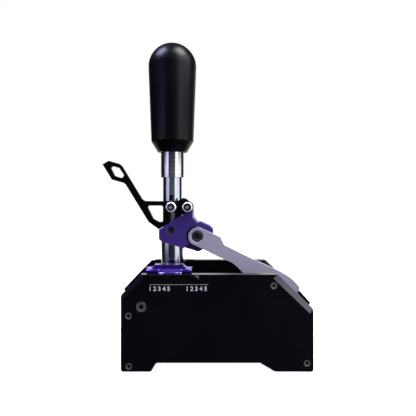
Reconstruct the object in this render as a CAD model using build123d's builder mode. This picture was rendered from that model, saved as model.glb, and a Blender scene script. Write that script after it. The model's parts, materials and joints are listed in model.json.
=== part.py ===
import math
import os

from build123d import *

# Sim racing gear shifter, in millimetres. X runs from the front end to the rear end, Z is up.
# The origin is on the ground, under the centre of the housing. The near side faces -Y.

# Fits and clearances
slip = 0.05
running = 0.3
air = 0.6
overrun = 1.0

# Housing
housing_length = 171.6
housing_width = 100.0
housing_height = 86.5
side_thickness = 8.0
front_slope_run = 17.4
front_slope_drop = 18.5
rear_slope_run = 32.1
rear_slope_drop = 30.8
arch_height = 8.0
front_foot_length = 26.8
rear_foot_length = 34.1
front_arch_run = 4.8
rear_arch_run = 13.6
outline_round = 2.5
front_bevel = 3.6
rear_bevel = 5.0
bevel_depth = 2.2
floor_thickness = 6.0
panel_thickness = 4.0
panel_gap = 0.8
cover_thickness = 4.0
cover_proud = 2.0
cover_end_gap = 3.4

# Lever and joint axes
lever_setback = 41.35
pivot_ahead = 25.25
pivot_rise = 30.7
axle_rise = 26.0
spring_rise = 2.0
trigger_pivot_ahead = 15.85
trigger_rise = 28.4
pitch_limit = 8.0
roll_limit = 8.0
trigger_limit = 28.0
mode_travel = 34.0

# Worked-out places that several pieces share
half_length = housing_length / 2
half_width = housing_width / 2
inner_half = half_width - side_thickness
floor_top = arch_height + floor_thickness
front_face = -half_length
rear_face = half_length
front_low = housing_height - front_slope_drop
rear_low = housing_height - rear_slope_drop
front_top_x = front_face + front_slope_run
rear_top_x = rear_face - rear_slope_run
pivot_height = housing_height + pivot_rise
axle_height = floor_top + axle_rise
spring_height = axle_height + spring_rise
trigger_height = pivot_height + trigger_rise
lever_x = front_face + lever_setback
pivot_x = lever_x + pivot_ahead
trigger_x = lever_x + trigger_pivot_ahead
pitch_swing = math.sin(math.radians(pitch_limit))
roll_swing = math.sin(math.radians(roll_limit))
front_slope_length = math.hypot(front_slope_run, front_slope_drop)
rear_slope_length = math.hypot(rear_slope_run, rear_slope_drop)


os.makedirs("parts", exist_ok=True)


# Writes a finished piece under its own name
def save(piece, name):
    piece.part.label = name
    export_step(piece.part, "parts/" + name + ".step")


# Points of an outline written as shares of a length and a height, counted from a place
def scaled(shares, length, height, x0, z0):
    return [(x0 + x_share * length, z0 + z_share * height) for x_share, z_share in shares]


# A filled outline, with its corners rounded where a radius is given
def closed_outline(points, round_radius=None):
    with BuildLine(Plane.XY, mode=Mode.PRIVATE) as border:
        if round_radius:
            FilletPolyline(*points, radius=round_radius, close=True)
        else:
            Polyline(*points, close=True)
    make_face(border.edges())


# The plane seen from the near side at one depth. A piece grows from it towards -Y
def side_view(y):
    return Plane(origin=(0, y, 0), x_dir=(1, 0, 0), z_dir=(0, -1, 0))


# Height of the front slope over a place along X
def front_line(x):
    return front_low + (x - front_face) * front_slope_drop / front_slope_run


# Height of the rear slope over a place along X
def rear_line(x):
    return rear_low + (rear_face - x) * rear_slope_drop / rear_slope_run


# The plane of a slope's edge: local X climbs the slope, local Y points out of the housing
def slope_view(side):
    if side == "front":
        climb = (front_slope_run, 0, front_slope_drop)
        return Plane(origin=(front_face, 0, front_low), x_dir=climb, z_dir=(0, -1, 0))
    climb = (-rear_slope_run, 0, rear_slope_drop)
    return Plane(origin=(rear_face, 0, rear_low), x_dir=climb, z_dir=(0, 1, 0))


# A place on a side of the housing, turned so that its local Z points outwards
def from_side(sign, x, z, y=None):
    depth = half_width if y is None else y
    return Location((x, sign * depth, z), (-sign * 90, 0, 0))


# Screws: radius, head radius and length of each kind, with countersunk heads
csk_angle = 90
small_radius = 1.5
small_head = 3.1
small_length = 18.0
large_radius = 2.5
large_head = 4.8
large_length = 26.0
base_radius = 2.0
base_head = 3.8
base_length = 14.0
tap_extra = 0.5


# A countersunk screw whose head lies flush at the place where it is put
def csk_screw(radius, head_radius, length):
    head_height = head_radius - radius
    top = (Align.CENTER, Align.CENTER, Align.MAX)
    Cone(bottom_radius=radius, top_radius=head_radius, height=head_height, align=top)
    Cylinder(radius=radius, height=length, align=top)


# Places of the screws in the side plates
panel_screw_inset = 6.8
panel_screw_below_bar = 8.0
front_foot_screw_inset = 7.2
front_foot_screw_height = 4.9
rear_foot_screw_inset = 5.8
rear_foot_screw_height = 7.7
cover_screw_ahead = 3.2
cover_screw_below = 9.9
bar_inset = 18.2
bar_rise = 15.7

bar_height = spring_height + bar_rise
panel_screw_height = bar_height - panel_screw_below_bar
panel_screw = (front_face + panel_screw_inset, panel_screw_height)
front_foot_screw = (front_face + front_foot_screw_inset, front_foot_screw_height)
rear_foot_screw = (rear_face - rear_foot_screw_inset, rear_foot_screw_height)
cover_screw = (rear_top_x - cover_screw_ahead, housing_height - cover_screw_below)
small_places = [panel_screw, front_foot_screw, rear_foot_screw, cover_screw]
bar_x = front_face + bar_inset

# Mode slider: its guide screws are in the near plate
slider_drop = 15.5
slider_height = housing_height - slider_drop
guide_radius = 2.0
guide_behind_lever = 35.55
guide_depth = 5.0
guide_spacing = 12.0
guide_x = lever_x + guide_behind_lever
guide_places = [(guide_x, slider_height), (guide_x + guide_spacing, slider_height)]

# Side plates: one outline with a low arch between two feet, cut off by the two slopes
front_foot_x = front_face + front_foot_length
front_arch_x = front_foot_x + front_arch_run
rear_foot_x = rear_face - rear_foot_length
rear_arch_x = rear_foot_x - rear_arch_run

side_outline = [
    (front_face, 0),
    (front_face, front_low),
    (front_top_x, housing_height),
    (rear_top_x, housing_height),
    (rear_face, rear_low),
    (rear_face, 0),
    (rear_foot_x, 0),
    (rear_arch_x, arch_height),
    (front_arch_x, arch_height),
    (front_foot_x, 0),
]

with BuildPart() as side_plate_near:
    with BuildSketch(side_view(-inner_half)):
        closed_outline(side_outline, outline_round)
    extrude(amount=side_thickness)
    for side, bevel, inward in (("front", front_bevel, -1), ("rear", rear_bevel, 1)):
        slope = slope_view(side)
        corner = slope.origin - Vector(0, half_width, 0)
        bevel_outline = [
            (-bevel, 0),
            (overrun, inward * bevel_depth * (bevel + overrun) / bevel),
            (overrun, -inward * overrun),
            (-bevel, -inward * overrun),
        ]
        with BuildSketch(Plane(origin=corner, x_dir=slope.y_dir, z_dir=slope.x_dir)):
            closed_outline(bevel_outline)
        extrude(amount=front_slope_length if side == "front" else rear_slope_length, mode=Mode.SUBTRACT)
    with Locations(*[from_side(-1, x, z) for x, z in small_places]):
        CounterSinkHole(small_radius, small_head, side_thickness + overrun, csk_angle)
    with Locations(from_side(-1, bar_x, bar_height)):
        CounterSinkHole(large_radius, large_head, side_thickness + overrun, csk_angle)
    plain_plate = side_plate_near.part
    with Locations(*[from_side(1, x, z, -inner_half) for x, z in guide_places]):
        Hole(guide_radius, guide_depth + tap_extra)

with BuildPart() as side_plate_far:
    add(mirror(plain_plate, about=Plane.XZ, mode=Mode.PRIVATE))

save(side_plate_near, "side_plate_near")
save(side_plate_far, "side_plate_far")

with BuildPart() as side_screws:
    for sign in (-1, 1):
        with Locations(*[from_side(sign, x, z) for x, z in small_places]):
            csk_screw(small_radius, small_head, small_length)
save(side_screws, "side_screws")

with BuildPart() as bar_screws:
    for sign in (-1, 1):
        with Locations(from_side(sign, bar_x, bar_height)):
            csk_screw(large_radius, large_head, large_length)
save(bar_screws, "bar_screws")
small_reach = half_width - small_length - tap_extra
large_reach = half_width - large_length - tap_extra


# Tapped holes along Y that take the side screws, cut from both sides
def tap(places, radius, reach):
    for sign in (-1, 1):
        with Locations(*[from_side(sign, x, z) for x, z in places]):
            Hole(radius, half_width - reach)


# Parts that stand on the base plate, and the screws that hold them from below
hub_setback = 16.4
hub_behind_pivot = 47.8
hub_rear = rear_face - hub_setback
hub_front = pivot_x + hub_behind_pivot
block_thickness = 8.0
block_half = 20.0
block_screw_y = 15.0
front_block_x = hub_front - air
rear_block_x = hub_rear + air
post_gap = 37.35
post_thickness = 8.0
post_half = 12.0
post_screw_y = 7.5
post_x = lever_x + post_gap
portal_side_gap = 6.0
portal_half = inner_half - portal_side_gap
leg_thickness = 5.0
portal_foot = 8.0
portal_screw_x = 6.0
portal_screw_y = portal_half - leg_thickness - portal_foot / 2
track_screw_inset = 4.5
track_gap = 4.5
track_flange = portal_half - leg_thickness - portal_foot - track_gap
track_screw_y = track_flange - track_screw_inset

base_places = []
for sign in (-1, 1):
    base_places.append((front_block_x - block_thickness / 2, sign * block_screw_y))
    base_places.append((rear_block_x + block_thickness / 2, sign * block_screw_y))
    base_places.append((post_x + post_thickness / 2, sign * post_screw_y))
    base_places.append((lever_x, sign * track_screw_y))
    base_places.append((lever_x - portal_screw_x, sign * portal_screw_y))
    base_places.append((lever_x + portal_screw_x, sign * portal_screw_y))
seat = arch_height
below = [Location((x, y, seat), (180, 0, 0)) for x, y in base_places]

# Base plate: the floor of the housing, with a foot pad across each end
rig_inset = 15.8
rig_spacing_x = housing_length - rig_inset * 2
rig_spacing_y = 50.0
rig_radius = 2.5

floor_outline = [
    (front_face, 0),
    (front_face, floor_top),
    (rear_face, floor_top),
    (rear_face, 0),
    (rear_foot_x, 0),
    (rear_arch_x, arch_height),
    (front_arch_x, arch_height),
    (front_foot_x, 0),
]

with BuildPart() as base_plate:
    with BuildSketch(Plane.XZ):
        closed_outline(floor_outline)
    extrude(amount=inner_half, both=True)
    with Locations(Location((0, 0, floor_top))):
        with GridLocations(rig_spacing_x, rig_spacing_y, 2, 2):
            Hole(rig_radius, floor_top)
    tap([front_foot_screw, rear_foot_screw], small_radius, small_reach)
    with Locations(*below):
        CounterSinkHole(base_radius, base_head, floor_thickness + overrun, csk_angle)
        Cylinder(base_head, seat, align=(Align.CENTER, Align.CENTER, Align.MIN), mode=Mode.SUBTRACT)
save(base_plate, "base_plate")

with BuildPart() as base_screws:
    with Locations(*below):
        csk_screw(base_radius, base_head, base_length)
save(base_screws, "base_screws")
base_tap = base_length - floor_thickness + tap_extra


# Tapped holes in what stands on the base plate
def tap_below(places):
    with Locations(*[Location((x, y, floor_top), (180, 0, 0)) for x, y in places]):
        Hole(base_radius, base_tap)


# End panels between the side plates
lug_depth = 8.0
lug_half = 5.8
lug_end = 10.6

with BuildPart() as front_panel:
    panel_top = front_low - panel_gap
    with BuildSketch(side_view(inner_half)):
        panel_outline = [
            (front_face, floor_top),
            (front_face, panel_top),
            (front_face + panel_thickness, panel_top),
            (front_face + panel_thickness, floor_top),
        ]
        closed_outline(panel_outline)
    extrude(amount=inner_half * 2)
    for lug_y in (inner_half, lug_depth - inner_half):
        with BuildSketch(side_view(lug_y)):
            with Locations((front_face + lug_end / 2, panel_screw_height)):
                Rectangle(lug_end, lug_half * 2)
        extrude(amount=lug_depth)
    tap([panel_screw], small_radius, small_reach)
save(front_panel, "front_panel")

inlet_width = 12.0
inlet_height = 10.8
inlet_depth = 16.0
inlet_inset = 13.0
inlet_rise = 9.0
inlet_y = inner_half - inlet_inset
inlet_z = floor_top + inlet_rise
inlet_round = 1.5
inlet_proud = 0.4
inlet_wall = 1.0
tongue_width = 6.0
tongue_height = 3.2
socket_depth_share = 0.6
pedestal_middle_share = 0.7
pedestal_length_share = 0.5
pedestal_width_share = 0.8

with BuildPart() as rear_panel:
    with BuildSketch(side_view(inner_half)):
        panel_outline = [
            (rear_face, floor_top),
            (rear_face, rear_low - panel_gap),
            (rear_face - panel_thickness, rear_low - panel_gap),
            (rear_face - panel_thickness, floor_top),
        ]
        closed_outline(panel_outline)
    extrude(amount=inner_half * 2)
    with BuildSketch(Plane.YZ.offset(rear_face)):
        with Locations((inlet_y, inlet_z)):
            RectangleRounded(inlet_width + slip * 2, inlet_height + slip * 2, inlet_round)
    extrude(amount=-panel_thickness - overrun, mode=Mode.SUBTRACT)
save(rear_panel, "rear_panel")

with BuildPart() as usb_inlet:
    inlet_face = rear_face + inlet_proud
    with BuildSketch(Plane.YZ.offset(inlet_face)):
        with Locations((inlet_y, inlet_z)):
            RectangleRounded(inlet_width, inlet_height, inlet_round)
    extrude(amount=-inlet_depth)
    with BuildSketch(Plane.YZ.offset(inlet_face)):
        with Locations((inlet_y, inlet_z)):
            RectangleRounded(inlet_width - inlet_wall * 2, inlet_height - inlet_wall * 2, inlet_wall / 2)
            Rectangle(tongue_width, tongue_height, mode=Mode.SUBTRACT)
    extrude(amount=-inlet_depth * socket_depth_share, mode=Mode.SUBTRACT)
    with BuildSketch(Plane.XY.offset(floor_top)):
        with Locations((inlet_face - inlet_depth * pedestal_middle_share, inlet_y)):
            Rectangle(inlet_depth * pedestal_length_share, inlet_width * pedestal_width_share)
    extrude(until=Until.NEXT)
save(usb_inlet, "usb_inlet")

# Slope covers: each is a slab in the slope, with cheeks or lugs inside that the side screws hold
cover_under = cover_thickness - cover_proud
cheek_thickness = 3.6
cheek_half = 6.5
cheek_end = inner_half - cheek_thickness
rear_lug_half = 5.0
rear_lug_skin = 2.8
slot_half = 21.4
slot_end_gap = 7.6


# The section of a slope cover, from its lower gap up to a length along the slope
def slab(length):
    with Locations(((cover_end_gap + length) / 2, (cover_proud - cover_under) / 2)):
        Rectangle(length - cover_end_gap, cover_thickness)


with BuildPart() as front_slope_cover:
    with BuildSketch(slope_view("front")):
        slab(front_slope_length + cover_proud)
    extrude(amount=inner_half, both=True)
    split(bisect_by=Plane.XY.offset(housing_height), keep=Keep.BOTTOM)
    cheek_front = bar_x - cheek_half
    cheek_rear = bar_x + cheek_half
    cheek_outline = [
        (cheek_front, bar_height - cheek_half),
        (cheek_rear, bar_height - cheek_half),
        (cheek_rear, housing_height - cover_proud),
        (front_top_x, housing_height - cover_proud),
        (cheek_front, front_line(cheek_front) - cover_under),
    ]
    for cheek_y in (inner_half, -cheek_end):
        with BuildSketch(side_view(cheek_y)):
            closed_outline(cheek_outline)
        extrude(amount=cheek_thickness)
    tap([(bar_x, bar_height)], large_radius, cheek_end - overrun)
save(front_slope_cover, "front_slope_cover")

with BuildPart() as rear_slope_cover:
    with BuildSketch(slope_view("rear")):
        slab(rear_slope_length + cover_proud)
    extrude(amount=inner_half, both=True)
    split(bisect_by=Plane.XY.offset(housing_height), keep=Keep.BOTTOM)
    with BuildSketch(slope_view("rear")):
        with Locations(((slot_end_gap + rear_slope_length) / 2 + overrun, 0)):
            Rectangle(rear_slope_length - slot_end_gap + overrun * 2, cover_thickness * 2)
    extrude(amount=slot_half, both=True, mode=Mode.SUBTRACT)
    screw_x, screw_z = cover_screw
    lug_outline = [
        (screw_x - rear_lug_half, screw_z - rear_lug_half),
        (screw_x + rear_lug_half, screw_z - rear_lug_half),
        (screw_x + rear_lug_half * 2, rear_line(screw_x + rear_lug_half * 2) - rear_lug_skin),
        (rear_top_x + cover_proud / 2, housing_height - cover_proud),
        (screw_x - rear_lug_half, housing_height - cover_proud),
    ]
    for lug_y in (inner_half, lug_depth - inner_half):
        with BuildSketch(side_view(lug_y)):
            closed_outline(lug_outline)
        extrude(amount=lug_depth)
    tap([cover_screw], small_radius, small_reach)
save(rear_slope_cover, "rear_slope_cover")

bar_half = 5.0
with BuildPart() as front_bar:
    with BuildSketch(side_view(cheek_end)):
        with Locations((bar_x, bar_height)):
            RectangleRounded(bar_half * 2, bar_half * 2, running)
    extrude(amount=cheek_end * 2)
    tap([(bar_x, bar_height)], large_radius, large_reach)
save(front_bar, "front_bar")

# Gate: a portal that stands on the floor, and the coloured gate block on top of it
sleeve_radius = 11.1
gate_rise = 6.7
gate_top = housing_height + gate_rise
gate_step = 3.2
gate_low_height = 4.0
gate_length = 42.4
gate_high_length = 26.5
gate_round = 3.0
pad_depth = 13.0
cove_radius = 5.12
portal_length = 32.1
portal_thickness = 6.0
gate_low_top = gate_top - gate_step
gate_base = gate_low_top - gate_low_height
portal_top = gate_base
sleeve_sink = 9.2
sleeve_low = gate_top - sleeve_sink
window_x = sleeve_radius + (pivot_height - sleeve_low) * pitch_swing + running
window_y = sleeve_radius + (gate_top - axle_height) * roll_swing + air
leg_window_height = 26.0
leg_window_half = 9.0
leg_window_low = 18.0

gate_screw_radius = 2.0
gate_screw_head = 3.5
gate_screw_x = 8.5
gate_screw_inset = 8.0
gate_screw_y = portal_half - gate_screw_inset
gate_screw_short = 1.2
gate_screw_length = gate_top - portal_top + portal_thickness - gate_screw_short
gate_head_height = 2.0
gate_places = []
portal_places = []
for x_sign in (-1, 1):
    for y_sign in (-1, 1):
        gate_places.append((lever_x + x_sign * gate_screw_x, y_sign * gate_screw_y))
        portal_places.append((lever_x + x_sign * portal_screw_x, y_sign * portal_screw_y))

with BuildPart() as gate_portal:
    with BuildSketch(Plane.YZ.offset(lever_x)):
        portal_outline = [
            (-portal_half, floor_top),
            (-portal_half, portal_top),
            (portal_half, portal_top),
            (portal_half, floor_top),
            (portal_half - leg_thickness - portal_foot, floor_top),
            (portal_half - leg_thickness - portal_foot, floor_top + leg_thickness),
            (portal_half - leg_thickness, floor_top + leg_thickness),
            (portal_half - leg_thickness, portal_top - portal_thickness),
            (leg_thickness - portal_half, portal_top - portal_thickness),
            (leg_thickness - portal_half, floor_top + leg_thickness),
            (leg_thickness + portal_foot - portal_half, floor_top + leg_thickness),
            (leg_thickness + portal_foot - portal_half, floor_top),
        ]
        closed_outline(portal_outline)
    extrude(amount=portal_length / 2, both=True)
    with BuildSketch(Plane.XY.offset(portal_top)):
        with Locations((lever_x, 0)):
            Rectangle(gate_length, portal_half * 2)
    extrude(amount=-portal_thickness)
    with BuildSketch(Plane.XY.offset(portal_top)):
        with Locations((lever_x, 0)):
            RectangleRounded(window_x * 2, window_y * 2, gate_round)
    extrude(amount=-portal_thickness - overrun, mode=Mode.SUBTRACT)
    with BuildSketch(side_view(portal_half + overrun)):
        with Locations((lever_x, floor_top + leg_window_low + leg_window_height / 2)):
            RectangleRounded(leg_window_half * 2, leg_window_height, gate_round)
    extrude(amount=(portal_half + overrun) * 2, mode=Mode.SUBTRACT)
    with Locations(*[Location((x, y, floor_top), (180, 0, 0)) for x, y in portal_places]):
        Hole(base_radius, leg_thickness + overrun)
    with Locations(*[Location((x, y, portal_top)) for x, y in gate_places]):
        Hole(gate_screw_radius, portal_thickness + overrun)
save(gate_portal, "gate_portal")

with BuildPart() as gate_block:
    shoulder = (gate_length - gate_high_length) / 2
    with BuildSketch(side_view(portal_half)):
        with BuildLine():
            low_left = (lever_x - gate_length / 2, gate_base)
            low_right = (lever_x + gate_length / 2, gate_base)
            step_right = (lever_x + gate_length / 2, gate_low_top)
            step_left = (lever_x - gate_length / 2, gate_low_top)
            cove_right = (lever_x + gate_high_length / 2 + gate_step, gate_low_top)
            cove_left = (lever_x - gate_high_length / 2 - gate_step, gate_low_top)
            high_right = (lever_x + gate_high_length / 2, gate_top)
            high_left = (lever_x - gate_high_length / 2, gate_top)
            Line(low_left, low_right)
            Line(low_right, step_right)
            Line(step_right, cove_right)
            RadiusArc(cove_right, high_right, cove_radius)
            Line(high_right, high_left)
            RadiusArc(high_left, cove_left, cove_radius)
            Line(cove_left, step_left)
            Line(step_left, low_left)
        make_face()
    extrude(amount=portal_half * 2)
    with BuildSketch(Plane.XY.offset(gate_low_top)):
        with Locations((lever_x, 0)):
            Rectangle(gate_length, (portal_half - pad_depth) * 2)
    extrude(amount=gate_step + overrun, mode=Mode.SUBTRACT)
    upright = gate_block.edges().filter_by(Axis.Z).group_by(Axis.Y)
    fillet(upright[0] + upright[-1], gate_round)
    with BuildSketch(Plane.XY.offset(gate_base)):
        with Locations((lever_x, 0)):
            RectangleRounded(window_x * 2, window_y * 2, gate_round)
    extrude(amount=gate_step + gate_low_height + overrun, mode=Mode.SUBTRACT)
    with Locations(*[Location((x, y, gate_top)) for x, y in gate_places]):
        CounterBoreHole(gate_screw_radius, gate_screw_head + slip, gate_head_height)
save(gate_block, "gate_block")

with BuildPart() as gate_screws:
    with Locations(*[Location((x, y, gate_top - gate_head_height)) for x, y in gate_places]):
        Cylinder(gate_screw_head, gate_head_height, align=(Align.CENTER, Align.CENTER, Align.MIN))
        screw_shank = gate_screw_length - gate_head_height
        Cylinder(gate_screw_radius, screw_shank, align=(Align.CENTER, Align.CENTER, Align.MAX))
save(gate_screws, "gate_screws")

# Roll axle and its two bearing blocks
axle_radius = 4.0
bearing_radius = 11.0
bearing_width = 7.0
bearing_groove = 0.5
ring_wall = 2.2
block_top_radius = 15.5
block_foot_height = 9.0
bore_lip_radius = 7.5
front_block_face = front_block_x - block_thickness
rear_block_face = rear_block_x + block_thickness


# Outline of a bearing block: a wide foot, an upright and a round top about the axle
def block_profile():
    with Locations((0, floor_top)):
        Rectangle(block_half * 2, block_foot_height, align=(Align.CENTER, Align.MIN))
        Rectangle(block_top_radius * 2, axle_height - floor_top, align=(Align.CENTER, Align.MIN))
    with Locations((0, axle_height)):
        Circle(block_top_radius)


for name, face_x, inward in (("front", front_block_x, -1), ("rear", rear_block_x, 1)):
    with BuildPart() as bearing_block:
        with BuildSketch(Plane.YZ.offset(face_x)):
            block_profile()
        extrude(amount=inward * block_thickness)
        with BuildSketch(Plane.YZ.offset(face_x)):
            with Locations((0, axle_height)):
                Circle(bearing_radius)
        extrude(amount=inward * bearing_width, mode=Mode.SUBTRACT)
        with BuildSketch(Plane.YZ.offset(face_x)):
            with Locations((0, axle_height)):
                Circle(bore_lip_radius)
        extrude(amount=inward * (block_thickness + overrun), mode=Mode.SUBTRACT)
        screw_x = face_x + inward * block_thickness / 2
        tap_below([(screw_x, block_screw_y), (screw_x, -block_screw_y)])
    save(bearing_block, name + "_bearing_block")

    with BuildPart() as bearing:
        bore = axle_radius + slip
        with BuildSketch(Plane.YZ.offset(face_x)):
            with Locations((0, axle_height)):
                Circle(bearing_radius)
                Circle(bore, mode=Mode.SUBTRACT)
        extrude(amount=inward * bearing_width)
        with BuildSketch(Plane.YZ.offset(face_x)):
            with Locations((0, axle_height)):
                Circle(bearing_radius - ring_wall)
                Circle(bore + ring_wall, mode=Mode.SUBTRACT)
        extrude(amount=inward * bearing_groove, mode=Mode.SUBTRACT)
    save(bearing, name + "_bearing")

# Roll sensor: it reads the front end of the axle
sensor_depth = 10.0
sensor_half = 9.0
sensor_pocket = 7.0
sensor_round = 2.0
with BuildPart() as roll_sensor:
    with BuildSketch(Plane.YZ.offset(front_block_face)):
        with Locations((0, axle_height)):
            RectangleRounded(sensor_half * 2, sensor_half * 2, sensor_round)
    extrude(amount=-sensor_depth)
    with BuildSketch(Plane.YZ.offset(front_block_face)):
        with Locations((0, axle_height)):
            Circle(bore_lip_radius)
    extrude(amount=-sensor_pocket, mode=Mode.SUBTRACT)
save(roll_sensor, "roll_sensor")

# Pitch springs: between the front panel, the lever's foot and a post behind it
spring_radius = 5.0
spring_wall = 1.4
collar_half = 7.0
collar_below = 5.5
collar_above = 5.0
collar_low = spring_height - collar_below
collar_high = spring_height + collar_above
post_above = 8.0
post_top = spring_height + post_above
front_spring_end = front_face + panel_thickness
with BuildPart() as spring_post:
    with BuildSketch(Plane.YZ.offset(post_x)):
        post_outline = [
            (-post_half, floor_top),
            (-post_half, floor_top + post_thickness),
            (-collar_half, post_top),
            (collar_half, post_top),
            (post_half, floor_top + post_thickness),
            (post_half, floor_top),
        ]
        closed_outline(post_outline)
    extrude(amount=post_thickness)
    screw_x = post_x + post_thickness / 2
    tap_below([(screw_x, post_screw_y), (screw_x, -post_screw_y)])
save(spring_post, "spring_post")

spring_ends = {
    "front": (front_spring_end, lever_x - collar_half),
    "rear": (lever_x + collar_half, post_x),
}
for name, (start_x, end_x) in spring_ends.items():
    with BuildPart() as pitch_spring:
        with BuildSketch(Plane.YZ.offset(start_x)):
            with Locations((0, spring_height)):
                Circle(spring_radius)
                Circle(spring_radius - spring_wall, mode=Mode.SUBTRACT)
        extrude(amount=end_x - start_x)
    save(pitch_spring, "pitch_spring_" + name)

# Detent track: a cradle whose curve is centred on the pitch pivot
roller_rise = 14.0
roller_height = floor_top + roller_rise
roller_radius = 5.5
roller_half = 4.0
roller_arc = math.hypot(pivot_ahead, pivot_height - roller_height)
track_radius = roller_arc + roller_radius + air
track_half_length = 20.5
track_front = lever_x - track_half_length
track_rear = lever_x + track_half_length
track_half = 9.0
track_flange_length = 12.0
track_flange_height = 5.0
notch_radius = 7.4
track_above = 6.0
track_top = roller_height + track_above
with BuildPart() as detent_track:
    with BuildSketch(Plane.XZ):
        with Locations((lever_x, floor_top)):
            Rectangle(track_rear - track_front, track_top - floor_top, align=(Align.CENTER, Align.MIN))
        with Locations((pivot_x, pivot_height)):
            Circle(track_radius, mode=Mode.SUBTRACT)
        roller_angle = math.atan2(roller_height - pivot_height, -pivot_ahead)
        for turn in (-pitch_limit, 0, pitch_limit):
            angle = roller_angle + math.radians(turn)
            notch_x = pivot_x + roller_arc * math.cos(angle)
            notch_z = pivot_height + roller_arc * math.sin(angle)
            with Locations((notch_x, notch_z)):
                Circle(notch_radius, mode=Mode.SUBTRACT)
    extrude(amount=track_half, both=True)
    with BuildSketch(Plane.XY.offset(floor_top)):
        with Locations((lever_x, 0)):
            Rectangle(track_flange_length, track_flange * 2)
            Rectangle(track_flange_length, track_half * 2, mode=Mode.SUBTRACT)
    extrude(amount=track_flange_height)
    flange_places = [(lever_x, y, floor_top) for y in (-track_screw_y, track_screw_y)]
    with Locations(*[Location(place, (180, 0, 0)) for place in flange_places]):
        Hole(base_radius, track_flange_height + overrun)
save(detent_track, "detent_track")

# Circuit board on its standoffs
board_length = 36.0
board_width = 22.0
board_thickness = 1.6
board_x = -18.0
board_inset = 3.0
board_y = inner_half - board_inset - board_width
standoff_height = 6.0
standoff_radius = 2.5
standoff_inset = 3.5
chip_size = 7.0
chip_height = 1.2
plug_width = 9.0
plug_depth = 5.0
plug_height = 5.5
board_middle = (board_x + board_length / 2, board_y + board_width / 2)
with BuildPart() as board_standoffs:
    with Locations(Location((*board_middle, floor_top))):
        with GridLocations(board_length - standoff_inset * 2, board_width - standoff_inset * 2, 2, 2):
            Cylinder(standoff_radius, standoff_height, align=(Align.CENTER, Align.CENTER, Align.MIN))
save(board_standoffs, "board_standoffs")

with BuildPart() as circuit_board:
    with BuildSketch(Plane.XY.offset(floor_top + standoff_height)):
        with Locations(board_middle):
            Rectangle(board_length, board_width)
    extrude(amount=board_thickness)
    board_top = floor_top + standoff_height + board_thickness
    with BuildSketch(Plane.XY.offset(board_top)):
        with Locations(board_middle):
            Rectangle(chip_size, chip_size)
    extrude(amount=chip_height)
    with BuildSketch(Plane.XY.offset(board_top)):
        with Locations((board_x + board_length - plug_depth / 2, board_middle[1])):
            Rectangle(plug_depth, plug_width)
    extrude(amount=plug_height)
save(circuit_board, "circuit_board")

# Carrier: the grey fork that rolls on the axle and carries the lever's pivot
tail_setback = 5.6
arm_reach = rear_face - tail_setback - pivot_x
arm_drop = pivot_height - axle_height
arm_half = 14.1
tine_inner = 9.1
arm_step = 3.4
eye_radius = 8.7
far_eye_radius = 6.4
channel_share = 0.225
web_top_share = -0.5923
hub_radius = 13.0
web_inset = 4.0
wing_half_length = 6.0
wing_reach = 25.0
wing_half_height = 4.0
wing_low = axle_height - wing_half_height
wing_high = axle_height + wing_half_height
wing_x = (hub_front + hub_rear) / 2
bolt_radius = 3.0
bolt_head = 5.0
bolt_head_height = 2.6
eye_chamfer = 1.2
arm_top_shares = [
    (0.037, 0.1017),
    (0.151, 0.0335),
    (0.228, -0.0142),
    (0.265, -0.1127),
    (0.318, -0.1442),
    (0.522, -0.2740),
    (0.793, -0.4300),
    (0.896, -0.5060),
    (0.955, -0.5688),
]
arm_tail_shares = [
    (1.0, -0.6390),
    (0.995, -0.6721),
    (0.982, -0.6979),
    (0.890, -0.7210),
]
arm_low_shares = [
    (0.449, -0.4558),
    (0.383, -0.3721),
    (0.338, -0.3251),
    (0.220, -0.2640),
    (0.071, -0.1687),
    (-0.026, -0.1062),
]

with BuildPart() as carrier_arm:
    for eye, top_step, tail_shares, depth in (
        (eye_radius, 0, arm_tail_shares, arm_half - tine_inner),
        (far_eye_radius, arm_step, arm_tail_shares[1:], -arm_half - tine_inner),
    ):
        low_step = eye_radius - eye
        arm_outline = scaled(arm_top_shares, arm_reach, arm_drop, pivot_x, pivot_height - top_step)
        arm_outline += scaled(tail_shares, arm_reach, arm_drop, pivot_x, pivot_height)
        arm_outline += [(hub_rear - web_inset, axle_height), (hub_front + web_inset, axle_height)]
        arm_outline += [(hub_front + web_inset, pivot_height + arm_drop * web_top_share + low_step)]
        arm_outline += scaled(arm_low_shares, arm_reach, arm_drop, pivot_x, pivot_height + low_step)
        with BuildSketch(Plane.XZ.offset(tine_inner)):
            closed_outline(arm_outline)
            with Locations((pivot_x, pivot_height)):
                Circle(eye)
        extrude(amount=depth)
    with BuildSketch(Plane.YZ.offset(hub_front)):
        with Locations((0, axle_height)):
            Circle(hub_radius)
    extrude(amount=hub_rear - hub_front)
    with BuildSketch(Plane.XY.offset(wing_low)):
        with Locations((wing_x, 0)):
            Rectangle(wing_half_length * 2, wing_reach * 2)
    extrude(amount=wing_high - wing_low)
    with BuildSketch(Plane.XZ):
        with Locations((pivot_x + arm_reach * channel_share, pivot_height)):
            Rectangle(arm_reach, arm_reach, align=(Align.MAX, Align.CENTER))
    extrude(amount=tine_inner, both=True, mode=Mode.SUBTRACT)
    with BuildSketch(Plane.YZ.offset(hub_front)):
        with Locations((0, axle_height)):
            Circle(axle_radius)
    extrude(amount=hub_rear - hub_front, mode=Mode.SUBTRACT)
    for sign in (-1, 1):
        with Locations(from_side(sign, pivot_x, pivot_height, arm_half)):
            CounterBoreHole(bolt_radius, bolt_head + slip, bolt_head_height, arm_half)
    near_circles = carrier_arm.edges().filter_by(GeomType.CIRCLE).group_by(Axis.Y)[0]
    chamfer(near_circles.sort_by(SortBy.RADIUS)[0], eye_chamfer)
save(carrier_arm, "carrier_arm")

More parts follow.
